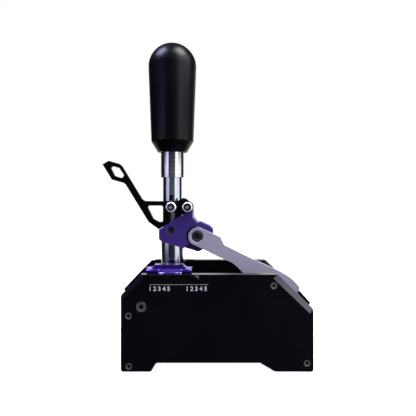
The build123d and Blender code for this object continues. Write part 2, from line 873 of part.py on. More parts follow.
axle_end = 2.6
clip_radius = 6.4
clip_width = 1.0
clip_gap = 0.3
with BuildPart() as roll_axle:
    with BuildSketch(Plane.YZ.offset(front_block_face - axle_end)):
        with Locations((0, axle_height)):
            Circle(axle_radius)
    extrude(amount=rear_block_face - front_block_face + axle_end * 2 - overrun)
save(roll_axle, "roll_axle")

with BuildPart() as axle_clips:
    for clip_x, away in ((front_block_face - clip_gap, -1), (rear_block_face + clip_gap, 1)):
        with BuildSketch(Plane.YZ.offset(clip_x)):
            with Locations((0, axle_height)):
                Circle(clip_radius)
                Circle(axle_radius, mode=Mode.SUBTRACT)
        extrude(amount=away * clip_width)
save(axle_clips, "axle_clips")

roll_spring_y = 19.0
for name, sign in (("near", -1), ("far", 1)):
    with BuildPart() as roll_spring:
        with BuildSketch(Plane.XY.offset(floor_top)):
            with Locations((wing_x, sign * roll_spring_y)):
                Circle(spring_radius)
                Circle(spring_radius - spring_wall, mode=Mode.SUBTRACT)
        extrude(amount=wing_low - floor_top)
    save(roll_spring, "roll_spring_" + name)

with BuildPart() as pivot_bolt:
    with Locations(from_side(-1, pivot_x, pivot_height, arm_half)):
        top = (Align.CENTER, Align.CENTER, Align.MAX)
        Cylinder(bolt_head, bolt_head_height, align=top)
        Cylinder(bolt_radius, arm_half * 2, align=top)
save(pivot_bolt, "pivot_bolt")

with BuildPart() as pivot_nut:
    with Locations(from_side(1, pivot_x, pivot_height, arm_half)):
        top = (Align.CENTER, Align.CENTER, Align.MAX)
        Cylinder(bolt_head, bolt_head_height, align=top)
        Cylinder(bolt_radius, bolt_head_height, align=top, mode=Mode.SUBTRACT)
save(pivot_nut, "pivot_nut")

# Lever stack, all turned about the lever's axis
rod_radius = 9.4
rod_bore = 5.0
rod_drop = 17.2
rod_low = pivot_height - rod_drop
sleeve_rise = 1.8
sleeve_high = pivot_height + sleeve_rise
collar_radius = 11.5
collar_rise = 29.1
collar_length = 25.2
collar_bottom = trigger_height + collar_rise
collar_top = collar_bottom + collar_length
collar_rim = 2.3
collar_groove = 0.3
knob_base_radius = 14.65
knob_cone_height = 10.8
knob_low_radius = 21.0
knob_radius = 23.8
knob_length = 85.9
knob_bore_depth = 40.1
knob_shoulder = collar_top + knob_length
rod_high = collar_top + knob_bore_depth
foot_shank = 14.0
foot_seat = rod_low - foot_shank
foot_radius = 6.0
foot_bore = 2.8
foot_bore_floor = 2.0
foot_bore_low = collar_high + foot_bore_floor
fork_half_x = 5.0
fork_half_y = 7.5
fork_drop = 3.5
fork_low = roller_height - fork_drop
fork_gap = 0.3
pin_radius = 2.0
lever_axis = Axis((lever_x, 0, 0), (0, 0, 1))
knob_edge_round = 1.2


# A solid of revolution about the lever's axis, from points of radius and height
def turned(points):
    with BuildSketch(Plane.XZ, mode=Mode.PRIVATE) as profile:
        closed_outline([(lever_x + radius, height) for radius, height in points])
    revolve(profile.sketch, axis=lever_axis)


with BuildPart() as sleeve:
    turned([
        (rod_radius, sleeve_low),
        (rod_radius, sleeve_high),
        (sleeve_radius, sleeve_high),
        (sleeve_radius, sleeve_low),
    ])
save(sleeve, "sleeve")

# Pull rod inside the rod, with the bolt that joins it to the trigger plate
piston_radius = rod_bore - running
piston_below = 9.6
piston_above = 6.4
piston_low = trigger_height - piston_below
piston_high = trigger_height + piston_above
lock_pin_radius = foot_bore - running
lock_pin_gap = 1.0
lock_pin_low = foot_bore_low + lock_pin_gap
pull_slot_half = 2.5
pull_slot_below = 2.8
pull_slot_above = 12.0
pull_slot_low = trigger_height - pull_slot_below
pull_slot_high = trigger_height + pull_slot_above
trigger_bolt_radius = 2.0
trigger_bolt_head = 4.95
trigger_bolt_head_height = 3.6
stop_rise = 39.4
stop_length = 6.0
stop_low = trigger_height + stop_rise
stop_high = stop_low + stop_length

with BuildPart() as rod:
    turned([(rod_bore, rod_low), (rod_bore, rod_high), (rod_radius, rod_high), (rod_radius, rod_low)])
    slot_length = pull_slot_high - pull_slot_low
    with BuildSketch(side_view(0)):
        with Locations((lever_x, (pull_slot_high + pull_slot_low) / 2)):
            SlotOverall(slot_length, pull_slot_half * 2, rotation=90)
    extrude(amount=rod_radius + overrun, mode=Mode.SUBTRACT)
save(rod, "rod")

with BuildPart() as pull_rod:
    turned([
        (0, lock_pin_low),
        (lock_pin_radius, lock_pin_low),
        (lock_pin_radius, piston_low),
        (piston_radius, piston_low),
        (piston_radius, piston_high),
        (0, piston_high),
    ])
    with BuildSketch(side_view(0)):
        with Locations((lever_x, trigger_height)):
            Circle(trigger_bolt_radius)
    extrude(amount=piston_radius + overrun, mode=Mode.SUBTRACT)
save(pull_rod, "pull_rod")

with BuildPart() as spring_stop:
    turned([(0, stop_low), (rod_bore, stop_low), (rod_bore, stop_high), (0, stop_high)])
save(spring_stop, "spring_stop")

pull_spring_radius = 4.4
pull_spring_wall = 1.1
with BuildPart() as pull_spring:
    inner_radius = pull_spring_radius - pull_spring_wall
    turned([
        (inner_radius, piston_high),
        (inner_radius, stop_low),
        (pull_spring_radius, stop_low),
        (pull_spring_radius, piston_high),
    ])
save(pull_spring, "pull_spring")

with BuildPart() as collar:
    rim_top = collar_bottom + collar_rim
    groove_radius = collar_radius - collar_groove
    turned([
        (rod_radius, collar_bottom),
        (rod_radius, collar_top),
        (collar_radius, collar_top),
        (collar_radius, rim_top + collar_groove),
        (groove_radius, rim_top + collar_groove),
        (groove_radius, rim_top),
        (collar_radius, rim_top),
        (collar_radius, collar_bottom),
    ])
save(collar, "collar")

with BuildPart() as knob:
    knob_cone_top = collar_top + knob_cone_height
    with BuildSketch(Plane.XZ):
        with BuildLine():
            dome_start = (lever_x + knob_radius, knob_shoulder)
            dome_end = (lever_x, knob_shoulder + knob_radius)
            Line((lever_x, rod_high), (lever_x + rod_radius, rod_high))
            Line((lever_x + rod_radius, rod_high), (lever_x + rod_radius, collar_top))
            Line((lever_x + rod_radius, collar_top), (lever_x + knob_base_radius, collar_top))
            Line((lever_x + knob_base_radius, collar_top), (lever_x + knob_low_radius, knob_cone_top))
            Line((lever_x + knob_low_radius, knob_cone_top), dome_start)
            CenterArc((lever_x, knob_shoulder), knob_radius, 0, 90)
            Line(dome_end, (lever_x, rod_high))
        make_face()
        low_corner = vertices().sort_by_distance((lever_x + knob_low_radius, knob_cone_top, 0))[0]
        fillet(low_corner, knob_edge_round)
    revolve(axis=lever_axis)
save(knob, "knob")

with BuildPart() as lever_foot:
    turned([
        (0, fork_low),
        (foot_radius, fork_low),
        (foot_radius, foot_seat),
        (rod_radius, foot_seat),
        (rod_radius, rod_low),
        (0, rod_low),
    ])
    with BuildSketch(Plane.XY.offset(fork_low)):
        with Locations((lever_x, 0)):
            Rectangle(fork_half_x * 2, fork_half_y * 2)
    extrude(amount=collar_low - fork_low)
    with BuildSketch(Plane.XY.offset(collar_low)):
        with Locations((lever_x, 0)):
            Rectangle(collar_half * 2, fork_half_y * 2)
    extrude(amount=collar_high - collar_low)
    with BuildSketch(Plane.XY.offset(fork_low)):
        with Locations((lever_x, 0)):
            Rectangle(collar_half * 3, (roller_half + fork_gap) * 2)
    extrude(amount=roller_height + roller_radius + air - fork_low, mode=Mode.SUBTRACT)
    with Locations(Location((lever_x, 0, rod_low))):
        Hole(foot_bore, rod_low - foot_bore_low)
    with BuildSketch(Plane.XZ):
        with Locations((lever_x, roller_height)):
            Circle(pin_radius)
    extrude(amount=fork_half_y + overrun, both=True, mode=Mode.SUBTRACT)
save(lever_foot, "lever_foot")

with BuildPart() as detent_roller:
    with BuildSketch(Plane.XZ):
        with Locations((lever_x, roller_height)):
            Circle(roller_radius)
            Circle(pin_radius + slip, mode=Mode.SUBTRACT)
    extrude(amount=roller_half, both=True)
save(detent_roller, "detent_roller")

with BuildPart() as roller_pin:
    with BuildSketch(Plane.XZ):
        with Locations((lever_x, roller_height)):
            Circle(pin_radius)
    extrude(amount=fork_half_y, both=True)
save(roller_pin, "roller_pin")

# Bracket: it clamps the lever, and its ear sits between the carrier's tines
bracket_length = 37.0
bracket_half = 15.0
ear_half = 8.8
lug_width_half = 9.7
lug_radius = 4.9
pocket_radius = 10.8
bush_wall = 2.0
bush_length = 8.4
bracket_round = 1.0
clamp_radius = 2.5
clamp_head = 3.7
clamp_head_height = 2.4
clamp_depth = 0.8
clamp_rise = 6.1
clamp_height = pivot_height + clamp_rise
bracket_shares = [
    (-1.0, 0.178),
    (-0.346, 0.586),
    (-0.122, 0.657),
    (-0.122, 0.497),
    (-0.007, 0.357),
    (0.084, 0.370),
    (0.330, 0.259),
    (0.414, 0.170),
    (0.419, 0.062),
    (0.168, -0.351),
    (0.022, -0.416),
    (-0.324, -0.308),
    (-0.919, -0.143),
    (-1.0, -0.068),
]
pocket_shares = [
    (-0.007, 0.42),
    (0.8, 0.42),
    (0.8, -0.6),
    (-0.30, -0.6),
    (-0.341, -0.286),
    (-0.26, -0.203),
    (0, 0),
]
trigger_inner = 10.0
trigger_outer = 14.0
trigger_eye = 5.7
trigger_bolt_depth = 16.0
bracket_outline = scaled(bracket_shares, bracket_length, bracket_length, pivot_x, pivot_height)

with BuildPart() as bracket:
    with BuildSketch(Plane.XZ):
        closed_outline(bracket_outline, bracket_round)
    extrude(amount=bracket_half, both=True)
    for sign in (-1, 1):
        with BuildSketch(side_view(sign * ear_half)):
            closed_outline(scaled(pocket_shares, bracket_length, bracket_length, pivot_x, pivot_height))
            with Locations((pivot_x, pivot_height)):
                Circle(pocket_radius)
        extrude(amount=-sign * bracket_half, mode=Mode.SUBTRACT)
        with BuildSketch(side_view(sign * lug_width_half)):
            with Locations((trigger_x, trigger_height)):
                Circle(trigger_eye + running * 2)
        extrude(amount=-sign * bracket_half, mode=Mode.SUBTRACT)
    with BuildSketch(Plane.XZ):
        with Locations((trigger_x, trigger_height)):
            Circle(lug_radius)
            Rectangle(lug_radius * 2, lug_radius * 2, align=(Align.CENTER, Align.MAX))
    extrude(amount=lug_width_half, both=True)
    with Locations(Location((lever_x, 0, sleeve_high))):
        Hole(sleeve_radius, bracket_length)
    with Locations(Location((lever_x, 0, trigger_height))):
        Hole(rod_radius, bracket_length)
    with BuildSketch(Plane.XZ):
        with Locations((pivot_x, pivot_height)):
            Circle(bolt_radius + slip + bush_wall)
    extrude(amount=bracket_half, both=True, mode=Mode.SUBTRACT)
    with Locations(from_side(-1, lever_x, clamp_height, bracket_half)):
        CounterBoreHole(clamp_radius, clamp_head, clamp_depth + clamp_head_height, bracket_half)
    with Locations(from_side(-1, trigger_x, trigger_height, lug_width_half)):
        Hole(trigger_bolt_radius, trigger_bolt_depth + tap_extra)
save(bracket, "bracket")

with BuildPart() as pivot_bushes:
    for sign in (-1, 1):
        with BuildSketch(side_view(sign * ear_half)):
            with Locations((pivot_x, pivot_height)):
                Circle(bolt_radius + slip + bush_wall)
                Circle(bolt_radius + slip, mode=Mode.SUBTRACT)
        extrude(amount=sign * bush_length)
save(pivot_bushes, "pivot_bushes")

with BuildPart() as clamp_screw:
    with Locations(from_side(-1, lever_x, clamp_height, bracket_half - clamp_depth)):
        top = (Align.CENTER, Align.CENTER, Align.MAX)
        Cylinder(clamp_head, clamp_head_height, align=top)
        Cylinder(clamp_radius, bracket_half - clamp_depth - rod_radius, align=top)
save(clamp_screw, "clamp_screw")

trigger_bolt_gap = 0.2
with BuildPart() as trigger_bolt:
    with Locations(from_side(-1, trigger_x, trigger_height, trigger_outer + trigger_bolt_gap)):
        Cylinder(trigger_bolt_head, trigger_bolt_head_height, align=(Align.CENTER, Align.CENTER, Align.MIN))
        bolt_reach = trigger_outer + trigger_bolt_gap - lug_width_half + trigger_bolt_depth
        Cylinder(trigger_bolt_radius, bolt_reach, align=(Align.CENTER, Align.CENTER, Align.MAX))
save(trigger_bolt, "trigger_bolt")

with BuildPart() as pull_bolt:
    with Locations(from_side(-1, lever_x, trigger_height, trigger_outer + trigger_bolt_gap)):
        Cylinder(trigger_bolt_head, trigger_bolt_head_height, align=(Align.CENTER, Align.CENTER, Align.MIN))
        bolt_reach = trigger_outer + trigger_bolt_gap
        Cylinder(trigger_bolt_radius, bolt_reach, align=(Align.CENTER, Align.CENTER, Align.MAX))
save(pull_bolt, "pull_bolt")

# Trigger plate: finger loop, arm, triangular web and the eye that it turns on
trigger_reach = 82.4
hole_round = 1.6
loop_round = 1.2
notch_left = 1.05
notch_right = 6.05
notch_top = 5.2
trigger_top_shares = [
    (-0.459, -0.172),
    (-0.726, 0.265),
    (-0.750, 0.285),
    (-0.882, 0.322),
    (-0.896, 0.334),
    (-1.0, 0.504),
    (-0.928, 0.546),
    (-0.803, 0.510),
    (-0.772, 0.483),
    (-0.535, 0.095),
    (-0.504, 0.072),
    (-0.126, 0.068),
    (-0.053, 0.108),
    (-0.021, 0.102),
    (0.063, 0.039),
    (0.040, -0.057),
]
loop_hole_shares = [
    (-0.903, 0.462),
    (-0.882, 0.483),
    (-0.801, 0.460),
    (-0.746, 0.375),
    (-0.767, 0.342),
    (-0.857, 0.367),
]
web_hole_shares = [
    (-0.478, 0.018),
    (-0.289, 0.018),
    (-0.289, -0.174),
    (-0.335, -0.174),
    (-0.402, -0.136),
]

with BuildPart() as trigger_plate:
    low_corner = Vector(*bracket_outline[0])
    high_corner = Vector(*bracket_outline[1])
    along = (high_corner - low_corner).normalized()
    lift = Vector(-along.Y, along.X) * running
    rest_edge = [high_corner + lift, low_corner + lift]
    with BuildSketch(side_view(-trigger_inner)):
        trigger_outline = scaled(trigger_top_shares, trigger_reach, trigger_reach, trigger_x, trigger_height)
        trigger_outline += [(point.X, point.Y) for point in rest_edge]
        closed_outline(trigger_outline)
        with Locations((trigger_x, trigger_height)):
            Circle(trigger_eye)
            Circle(trigger_bolt_radius + slip, mode=Mode.SUBTRACT)
        for shares, corner_round in ((loop_hole_shares, loop_round), (web_hole_shares, hole_round)):
            with BuildSketch(mode=Mode.SUBTRACT):
                hole_outline = scaled(shares, trigger_reach, trigger_reach, trigger_x, trigger_height)
                closed_outline(hole_outline, corner_round)
        slot_reach = trigger_pivot_ahead / math.cos(math.radians(trigger_limit)) - trigger_pivot_ahead
        with Locations((lever_x - slot_reach / 2, trigger_height)):
            SlotCenterToCenter(slot_reach, (trigger_bolt_radius + running) * 2, mode=Mode.SUBTRACT)
        notch_x = lever_x + (notch_right - notch_left) / 2
        with Locations((notch_x, trigger_height - notch_top)):
            notch_align = (Align.CENTER, Align.MAX)
            Rectangle(notch_right + notch_left, bracket_half, align=notch_align, mode=Mode.SUBTRACT)
    extrude(amount=trigger_outer - trigger_inner)
save(trigger_plate, "trigger_plate")

# Mode slider: a bar on two guide screws inside the near plate, with a pointer over its top edge
slider_half = 5.0
slider_thickness = 3.0
slider_gap = 0.3
slider_end = 4.0
pointer_width = 3.6
pointer_leg_half = 4.0
pointer_thickness = 1.2
pointer_drop = 4.8
pointer_behind_lever = 26.15
pointer_x = lever_x + pointer_behind_lever
pointer_leg_drop = 5.0
pointer_screw_radius = 1.0
pointer_screw_head = 1.8
pointer_screw_head_height = 0.8
guide_head = 3.4
guide_head_height = 1.6
slider_face = slider_gap - inner_half
slider_back = slider_face + slider_thickness
slot_front = guide_x - guide_radius - slider_gap
slot_rear = guide_x + guide_spacing + mode_travel + guide_radius + slider_gap
slider_front = pointer_x - pointer_leg_half - pointer_screw_radius
slider_rear = slot_rear + slider_end

with BuildPart() as mode_slider:
    with BuildSketch(side_view(slider_back)):
        with Locations(((slider_front + slider_rear) / 2, slider_height)):
            RectangleRounded(slider_rear - slider_front, slider_half * 2, pointer_screw_radius)
        with Locations(((slot_front + slot_rear) / 2, slider_height)):
            SlotOverall(slot_rear - slot_front, (guide_radius + slider_gap) * 2, mode=Mode.SUBTRACT)
        with Locations((pointer_x, slider_height)):
            Circle(pointer_screw_radius, mode=Mode.SUBTRACT)
    extrude(amount=slider_thickness)
save(mode_slider, "mode_slider")

with BuildPart() as guide_screws:
    for x, z in guide_places:
        with BuildSketch(side_view(slider_back + slider_gap)):
            with Locations((x, z)):
                Circle(guide_radius)
        extrude(amount=slider_back + slider_gap + inner_half + guide_depth)
        with BuildSketch(side_view(slider_back + slider_gap + guide_head_height)):
            with Locations((x, z)):
                Circle(guide_head)
        extrude(amount=guide_head_height)
save(guide_screws, "guide_screws")

with BuildPart() as mode_pointer:
    strap_low = housing_height + slider_gap
    with BuildSketch(Plane.YZ.offset(pointer_x)):
        leg_face = slider_back + pointer_thickness
        strap_end = -half_width - slider_gap - pointer_thickness
        strap_outline = [
            (slider_back, slider_height - pointer_leg_drop),
            (slider_back, strap_low),
            (strap_end, strap_low),
            (strap_end, strap_low + pointer_thickness),
            (leg_face, strap_low + pointer_thickness),
            (leg_face, slider_height - pointer_leg_drop),
        ]
        closed_outline(strap_outline)
    extrude(amount=pointer_width / 2, both=True)
    with BuildSketch(side_view(leg_face)):
        with Locations((pointer_x, slider_height)):
            Rectangle(pointer_leg_half * 2, pointer_leg_drop * 2)
    extrude(amount=pointer_thickness)
    with BuildSketch(side_view(-half_width - slider_gap)):
        pointer_outline = [
            (pointer_x - pointer_width / 2, strap_low + pointer_thickness),
            (pointer_x + pointer_width / 2, strap_low + pointer_thickness),
            (pointer_x + pointer_width / 2, strap_low - pointer_thickness),
            (pointer_x, housing_height - pointer_drop),
            (pointer_x - pointer_width / 2, strap_low - pointer_thickness),
        ]
        closed_outline(pointer_outline)
    extrude(amount=pointer_thickness)
    with BuildSketch(side_view(leg_face)):
        with Locations((pointer_x, slider_height)):
            Circle(pointer_screw_radius)
    extrude(amount=pointer_thickness, mode=Mode.SUBTRACT)
save(mode_pointer, "mode_pointer")

with BuildPart() as pointer_screw:
    with BuildSketch(side_view(leg_face)):
        with Locations((pointer_x, slider_height)):
            Circle(pointer_screw_radius)
    extrude(amount=leg_face - slider_face)
    with BuildSketch(side_view(leg_face + pointer_screw_head_height)):
        with Locations((pointer_x, slider_height)):
            Circle(pointer_screw_head)
    extrude(amount=pointer_screw_head_height)
save(pointer_screw, "pointer_screw")
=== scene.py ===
# Sim racing gear shifter: finishes, fasteners and light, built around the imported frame
import json
import math
import bpy
from mathutils import Matrix, Vector


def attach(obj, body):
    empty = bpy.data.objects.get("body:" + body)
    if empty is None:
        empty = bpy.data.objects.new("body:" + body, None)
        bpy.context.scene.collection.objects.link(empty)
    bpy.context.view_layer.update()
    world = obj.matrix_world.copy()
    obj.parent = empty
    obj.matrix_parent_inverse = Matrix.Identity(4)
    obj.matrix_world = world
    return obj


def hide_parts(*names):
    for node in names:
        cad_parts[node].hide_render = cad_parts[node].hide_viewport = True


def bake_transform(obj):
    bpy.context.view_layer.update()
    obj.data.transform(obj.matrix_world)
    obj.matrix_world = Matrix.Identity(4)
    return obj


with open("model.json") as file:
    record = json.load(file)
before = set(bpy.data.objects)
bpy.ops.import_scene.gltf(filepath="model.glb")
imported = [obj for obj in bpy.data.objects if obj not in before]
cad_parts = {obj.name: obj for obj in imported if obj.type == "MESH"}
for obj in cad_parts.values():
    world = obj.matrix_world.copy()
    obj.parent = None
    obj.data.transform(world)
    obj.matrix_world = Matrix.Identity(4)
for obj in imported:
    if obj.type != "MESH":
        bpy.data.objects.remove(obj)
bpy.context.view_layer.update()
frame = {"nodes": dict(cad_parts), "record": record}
nodes = frame["nodes"]
mm = 0.001
weldDistance = 0.002 * mm
touch = 0.1  # a corner this near to a face, in mm, counts as on it
overshoot = 1.0  # how far a socket cutter stands above the head
quarterTurn = math.pi / 2
print("frame loaded,", len(nodes), "nodes")


# Selection and mesh helpers

def pick(obj):
    bpy.ops.object.select_all(action="DESELECT")
    obj.select_set(True)
    bpy.context.view_layer.objects.active = obj


def settle(obj):  # the place goes into the mesh, and the object to the origin
    pick(obj)
    bpy.ops.object.transform_apply(location=True, rotation=True, scale=True)


def closeUp(obj, mergeDistance=weldDistance):  # merged doubles and outward normals
    pick(obj)
    bpy.ops.object.mode_set(mode="EDIT")
    bpy.ops.mesh.select_all(action="SELECT")
    bpy.ops.mesh.remove_doubles(threshold=mergeDistance)
    bpy.ops.mesh.normals_make_consistent(inside=False)
    bpy.ops.object.mode_set(mode="OBJECT")


def applyModifier(obj, modifier):
    pick(obj)
    bpy.ops.object.modifier_apply(modifier=modifier.name)


def bevelEdges(obj, width, segments=2, angle=30):
    bevel = obj.modifiers.new("edgeRound", "BEVEL")
    bevel.width = width
    bevel.segments = segments
    bevel.limit_method = "ANGLE"
    bevel.angle_limit = math.radians(angle)
    bevel.miter_outer = "MITER_ARC"
    applyModifier(obj, bevel)


def smooth(obj, angle=32):
    pick(obj)
    bpy.ops.object.shade_smooth_by_angle(angle=math.radians(angle))


def finishPiece(obj, body, material, replaced=()):
    obj.data.materials.clear()
    obj.data.materials.append(material)
    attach(obj, body)
    if replaced:
        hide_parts(*replaced)
    return obj


def flatFaces(obj):  # large faces keep their own normal, so rounded edges don't shade them
    smooth(obj, 40)
    weighted = obj.modifiers.new("flatFaces", "WEIGHTED_NORMAL")
    weighted.keep_sharp = True
    weighted.weight = 80
    applyModifier(obj, weighted)
    mesh = obj.data
    flat = []
    for face in mesh.polygons:
        level = sum(mesh.corner_normals[corner].vector.dot(face.normal) > 0.9999 for corner in face.loop_indices)
        if level * 2 > face.loop_total:  # most of its corners stand square to it
            flat.append(face.index)
    bpy.ops.mesh.customdata_custom_splitnormals_clear()
    for index in flat:
        mesh.polygons[index].use_smooth = False


def bisectAway(obj, point, normal):  # cuts off and closes the side that the normal points to
    pick(obj)
    bpy.ops.object.mode_set(mode="EDIT")
    bpy.ops.mesh.select_all(action="SELECT")
    bpy.ops.mesh.bisect(plane_co=[value * mm for value in point], plane_no=normal, use_fill=True, clear_outer=True)
    bpy.ops.object.mode_set(mode="OBJECT")


def bevelSome(obj, test, width, segments=1):  # the edges with both ends where the test says yes
    pick(obj)
    bpy.ops.object.mode_set(mode="EDIT")
    bpy.ops.mesh.select_all(action="DESELECT")
    bpy.ops.object.mode_set(mode="OBJECT")
    inside = [test(*(value / mm for value in vertex.co)) for vertex in obj.data.vertices]
    for edge in obj.data.edges:
        edge.select = inside[edge.vertices[0]] and inside[edge.vertices[1]]
    bpy.ops.object.mode_set(mode="EDIT")
    bpy.ops.mesh.select_mode(type="EDGE")
    bpy.ops.mesh.bevel(offset=width * mm, segments=segments, affect="EDGES")
    bpy.ops.object.mode_set(mode="OBJECT")


def block(name, low, high):  # a cube between two corners, to be shaped
    middle = [(first + second) / 2 * mm for first, second in zip(low, high)]
    bpy.ops.object.select_all(action="DESELECT")
    bpy.ops.mesh.primitive_cube_add(size=1, location=middle,
                                    scale=[(second - first) * mm for first, second in zip(low, high)])
    obj = bpy.context.object
    obj.name = name
    settle(obj)
    return obj


def nodeCopy(nodeName, newName):  # the node's own shape, merged into one clean mesh
    obj = bpy.data.objects.new(newName, nodes[nodeName].data.copy())
    bpy.context.scene.collection.objects.link(obj)
    obj.data.materials.clear()
    pick(obj)
    bpy.ops.object.mode_set(mode="EDIT")
    bpy.ops.mesh.select_all(action="SELECT")
    bpy.ops.mesh.remove_doubles(threshold=weldDistance)
    bpy.ops.mesh.dissolve_limited(angle_limit=math.radians(0.6))
    bpy.ops.object.mode_set(mode="OBJECT")
    return obj


def turnedPiece(name, profile, centre=(0, 0), sides=96):  # rings of radius and height, from the first to the last
    rings = [(max(radius, 0.01), height) for radius, height in profile]  # a ring can't shrink to nothing
    lastRadius, lastHeight = rings[0]
    bpy.ops.object.select_all(action="DESELECT")
    bpy.ops.mesh.primitive_circle_add(vertices=sides, radius=lastRadius * mm,
                                      location=(centre[0], centre[1], lastHeight * mm))
    obj = bpy.context.object
    obj.name = name
    settle(obj)
    bpy.ops.object.mode_set(mode="EDIT")
    bpy.ops.mesh.select_all(action="SELECT")
    for radius, height in rings[1:]:
        bpy.ops.mesh.extrude_region_move(TRANSFORM_OT_translate={"value": (0, 0, (height - lastHeight) * mm)})
        ratio = radius / lastRadius
        bpy.ops.transform.resize(value=(ratio, ratio, 1), center_override=(centre[0], centre[1], height * mm))
        lastRadius, lastHeight = radius, height
    bpy.ops.object.mode_set(mode="OBJECT")
    closeUp(obj, 0.03 * mm)
    return obj


def arcPoints(centreRadius, centreHeight, radius, fromAngle, toAngle, steps):
    points = []
    for step in range(steps + 1):
        angle = math.radians(fromAngle + (toAngle - fromAngle) * step / steps)
        points.append((centreRadius + radius * math.cos(angle), centreHeight + radius * math.sin(angle)))
    return points


def cutAway(obj, cutter):  # boolean difference, and the cutter is thrown away
    cut = obj.modifiers.new("cut", "BOOLEAN")
    cut.operation = "DIFFERENCE"
    cut.solver = "EXACT"
    cut.object = cutter
    applyModifier(obj, cut)
    bpy.data.objects.remove(cutter)


def hexCutter(across, depth, top):  # a hexagon prism from depth under the top to the overshoot above it
    bpy.ops.object.select_all(action="DESELECT")
    bpy.ops.mesh.primitive_cylinder_add(vertices=6, radius=across / math.sqrt(3) * mm, depth=(depth + overshoot) * mm,
                                        location=(0, 0, (top + overshoot / 2 - depth / 2) * mm))
    return bpy.context.object


def placedCopies(master, places, name):  # each place is a matrix, and the copies become one piece
    copies = []
    for place in places:
        copy = bpy.data.objects.new(name, master.data.copy())
        bpy.context.scene.collection.objects.link(copy)
        copy.data.transform(place)
        copies.append(copy)
    bpy.data.objects.remove(master)
    pick(copies[0])
    for copy in copies:
        copy.select_set(True)
    if len(copies) > 1:
        bpy.ops.object.join()
    return copies[0]


def shift(x, y, z):  # in millimetres
    return Matrix.Translation((x * mm, y * mm, z * mm))


def facing(sign, x, y, z):  # local Z points out of the near side (-1) or the far side (1)
    return shift(x, y, z) @ Matrix.Rotation(-sign * quarterTurn, 4, "X")


# Effects that several finishes share

def newGroup(name, inputs, outputs):
    group = bpy.data.node_groups.new(name, "ShaderNodeTree")
    for socketName, value in inputs.items():
        kind = "NodeSocketVector" if isinstance(value, tuple) else "NodeSocketFloat"
        socket = group.interface.new_socket(socketName, in_out="INPUT", socket_type=kind)
        socket.default_value = value
    for socketName in outputs:
        group.interface.new_socket(socketName, in_out="OUTPUT", socket_type="NodeSocketFloat")
    return group, group.nodes.new("NodeGroupInput"), group.nodes.new("NodeGroupOutput")


def mathNode(tree, operation, first, second):  # each is a socket or a number
    node = tree.nodes.new("ShaderNodeMath")
    node.operation = operation
    for place, value in enumerate((first, second)):
        if isinstance(value, (int, float)):
            node.inputs[place].default_value = value
        else:
            tree.links.new(value, node.inputs[place])
    return node.outputs[0]


def rangeNode(tree, value, fromLow, fromHigh, toLow=0.0, toHigh=1.0):
    node = tree.nodes.new("ShaderNodeMapRange")
    tree.links.new(value, node.inputs["Value"])
    for socketName, number in (("From Min", fromLow), ("From Max", fromHigh), ("To Min", toLow), ("To Max", toHigh)):
        if isinstance(number, (int, float)):
            node.inputs[socketName].default_value = number
        else:
            tree.links.new(number, node.inputs[socketName])
    return node.outputs["Result"]


def grainGroup():  # fine grain, and slow clouds for handling marks
    group, start, end = newGroup("fineGrain", {"Grain Scale": 1800.0, "Cloud Scale": 35.0}, ("Grain", "Clouds"))
    place = group.nodes.new("ShaderNodeTexCoord")
    grain = group.nodes.new("ShaderNodeTexNoise")
    grain.inputs["Detail"].default_value = 3.0
    grain.inputs["Roughness"].default_value = 0.6
    clouds = group.nodes.new("ShaderNodeTexNoise")
    clouds.inputs["Detail"].default_value = 4.0
    for noise, scaleName, outName in ((grain, "Grain Scale", "Grain"), (clouds, "Cloud Scale", "Clouds")):
        group.links.new(place.outputs["Object"], noise.inputs["Vector"])
        group.links.new(start.outputs[scaleName], noise.inputs["Scale"])
        group.links.new(noise.outputs["Fac"], end.inputs[outName])
    return group


def wearAndHighlightGroup():  # rubbed edges and a painted edge highlight, where the surface turns within the radius, broken up by noise
    group, start, end = newGroup("edgeWear", {"Radius": 0.0008, "Start": 0.01, "Full": 0.12, "Break Scale": 260.0},
                                 ("Wear",))
    shape = group.nodes.new("ShaderNodeNewGeometry")
    rounded = group.nodes.new("ShaderNodeBevel")
    rounded.samples = 6
    group.links.new(start.outputs["Radius"], rounded.inputs["Radius"])
    facingShare = group.nodes.new("ShaderNodeVectorMath")
    facingShare.operation = "DOT_PRODUCT"
    group.links.new(shape.outputs["Normal"], facingShare.inputs[0])
    group.links.new(rounded.outputs["Normal"], facingShare.inputs[1])
    turned = mathNode(group, "SUBTRACT", 1.0, facingShare.outputs["Value"])
    edge = rangeNode(group, turned, start.outputs["Start"], start.outputs["Full"])
    place = group.nodes.new("ShaderNodeTexCoord")
    noise = group.nodes.new("ShaderNodeTexNoise")
    noise.inputs["Detail"].default_value = 5.0
    group.links.new(place.outputs["Object"], noise.inputs["Vector"])
    group.links.new(start.outputs["Break Scale"], noise.inputs["Scale"])
    broken = rangeNode(group, noise.outputs["Fac"], 0.35, 0.6)
    group.links.new(mathNode(group, "MULTIPLY", edge, broken), end.inputs["Wear"])
    return group


def linesGroup():  # marks of brushing, grinding or turning, drawn out along the short sides of Stretch
    group, start, end = newGroup("toolLines", {"Stretch": (1.0, 1.0, 60.0), "Scale": 40.0}, ("Lines",))
    place = group.nodes.new("ShaderNodeTexCoord")
    drawn = group.nodes.new("ShaderNodeVectorMath")
    drawn.operation = "MULTIPLY"
    noise = group.nodes.new("ShaderNodeTexNoise")
    noise.inputs["Detail"].default_value = 4.0
    noise.inputs["Roughness"].default_value = 0.7
    group.links.new(place.outputs["Object"], drawn.inputs[0])
    group.links.new(start.outputs["Stretch"], drawn.inputs[1])
    group.links.new(drawn.outputs[0], noise.inputs["Vector"])
    group.links.new(start.outputs["Scale"], noise.inputs["Scale"])
    group.links.new(noise.outputs["Fac"], end.inputs["Lines"])
    return group


fineGrain = grainGroup()
edgeWear = wearAndHighlightGroup()
toolLines = linesGroup()


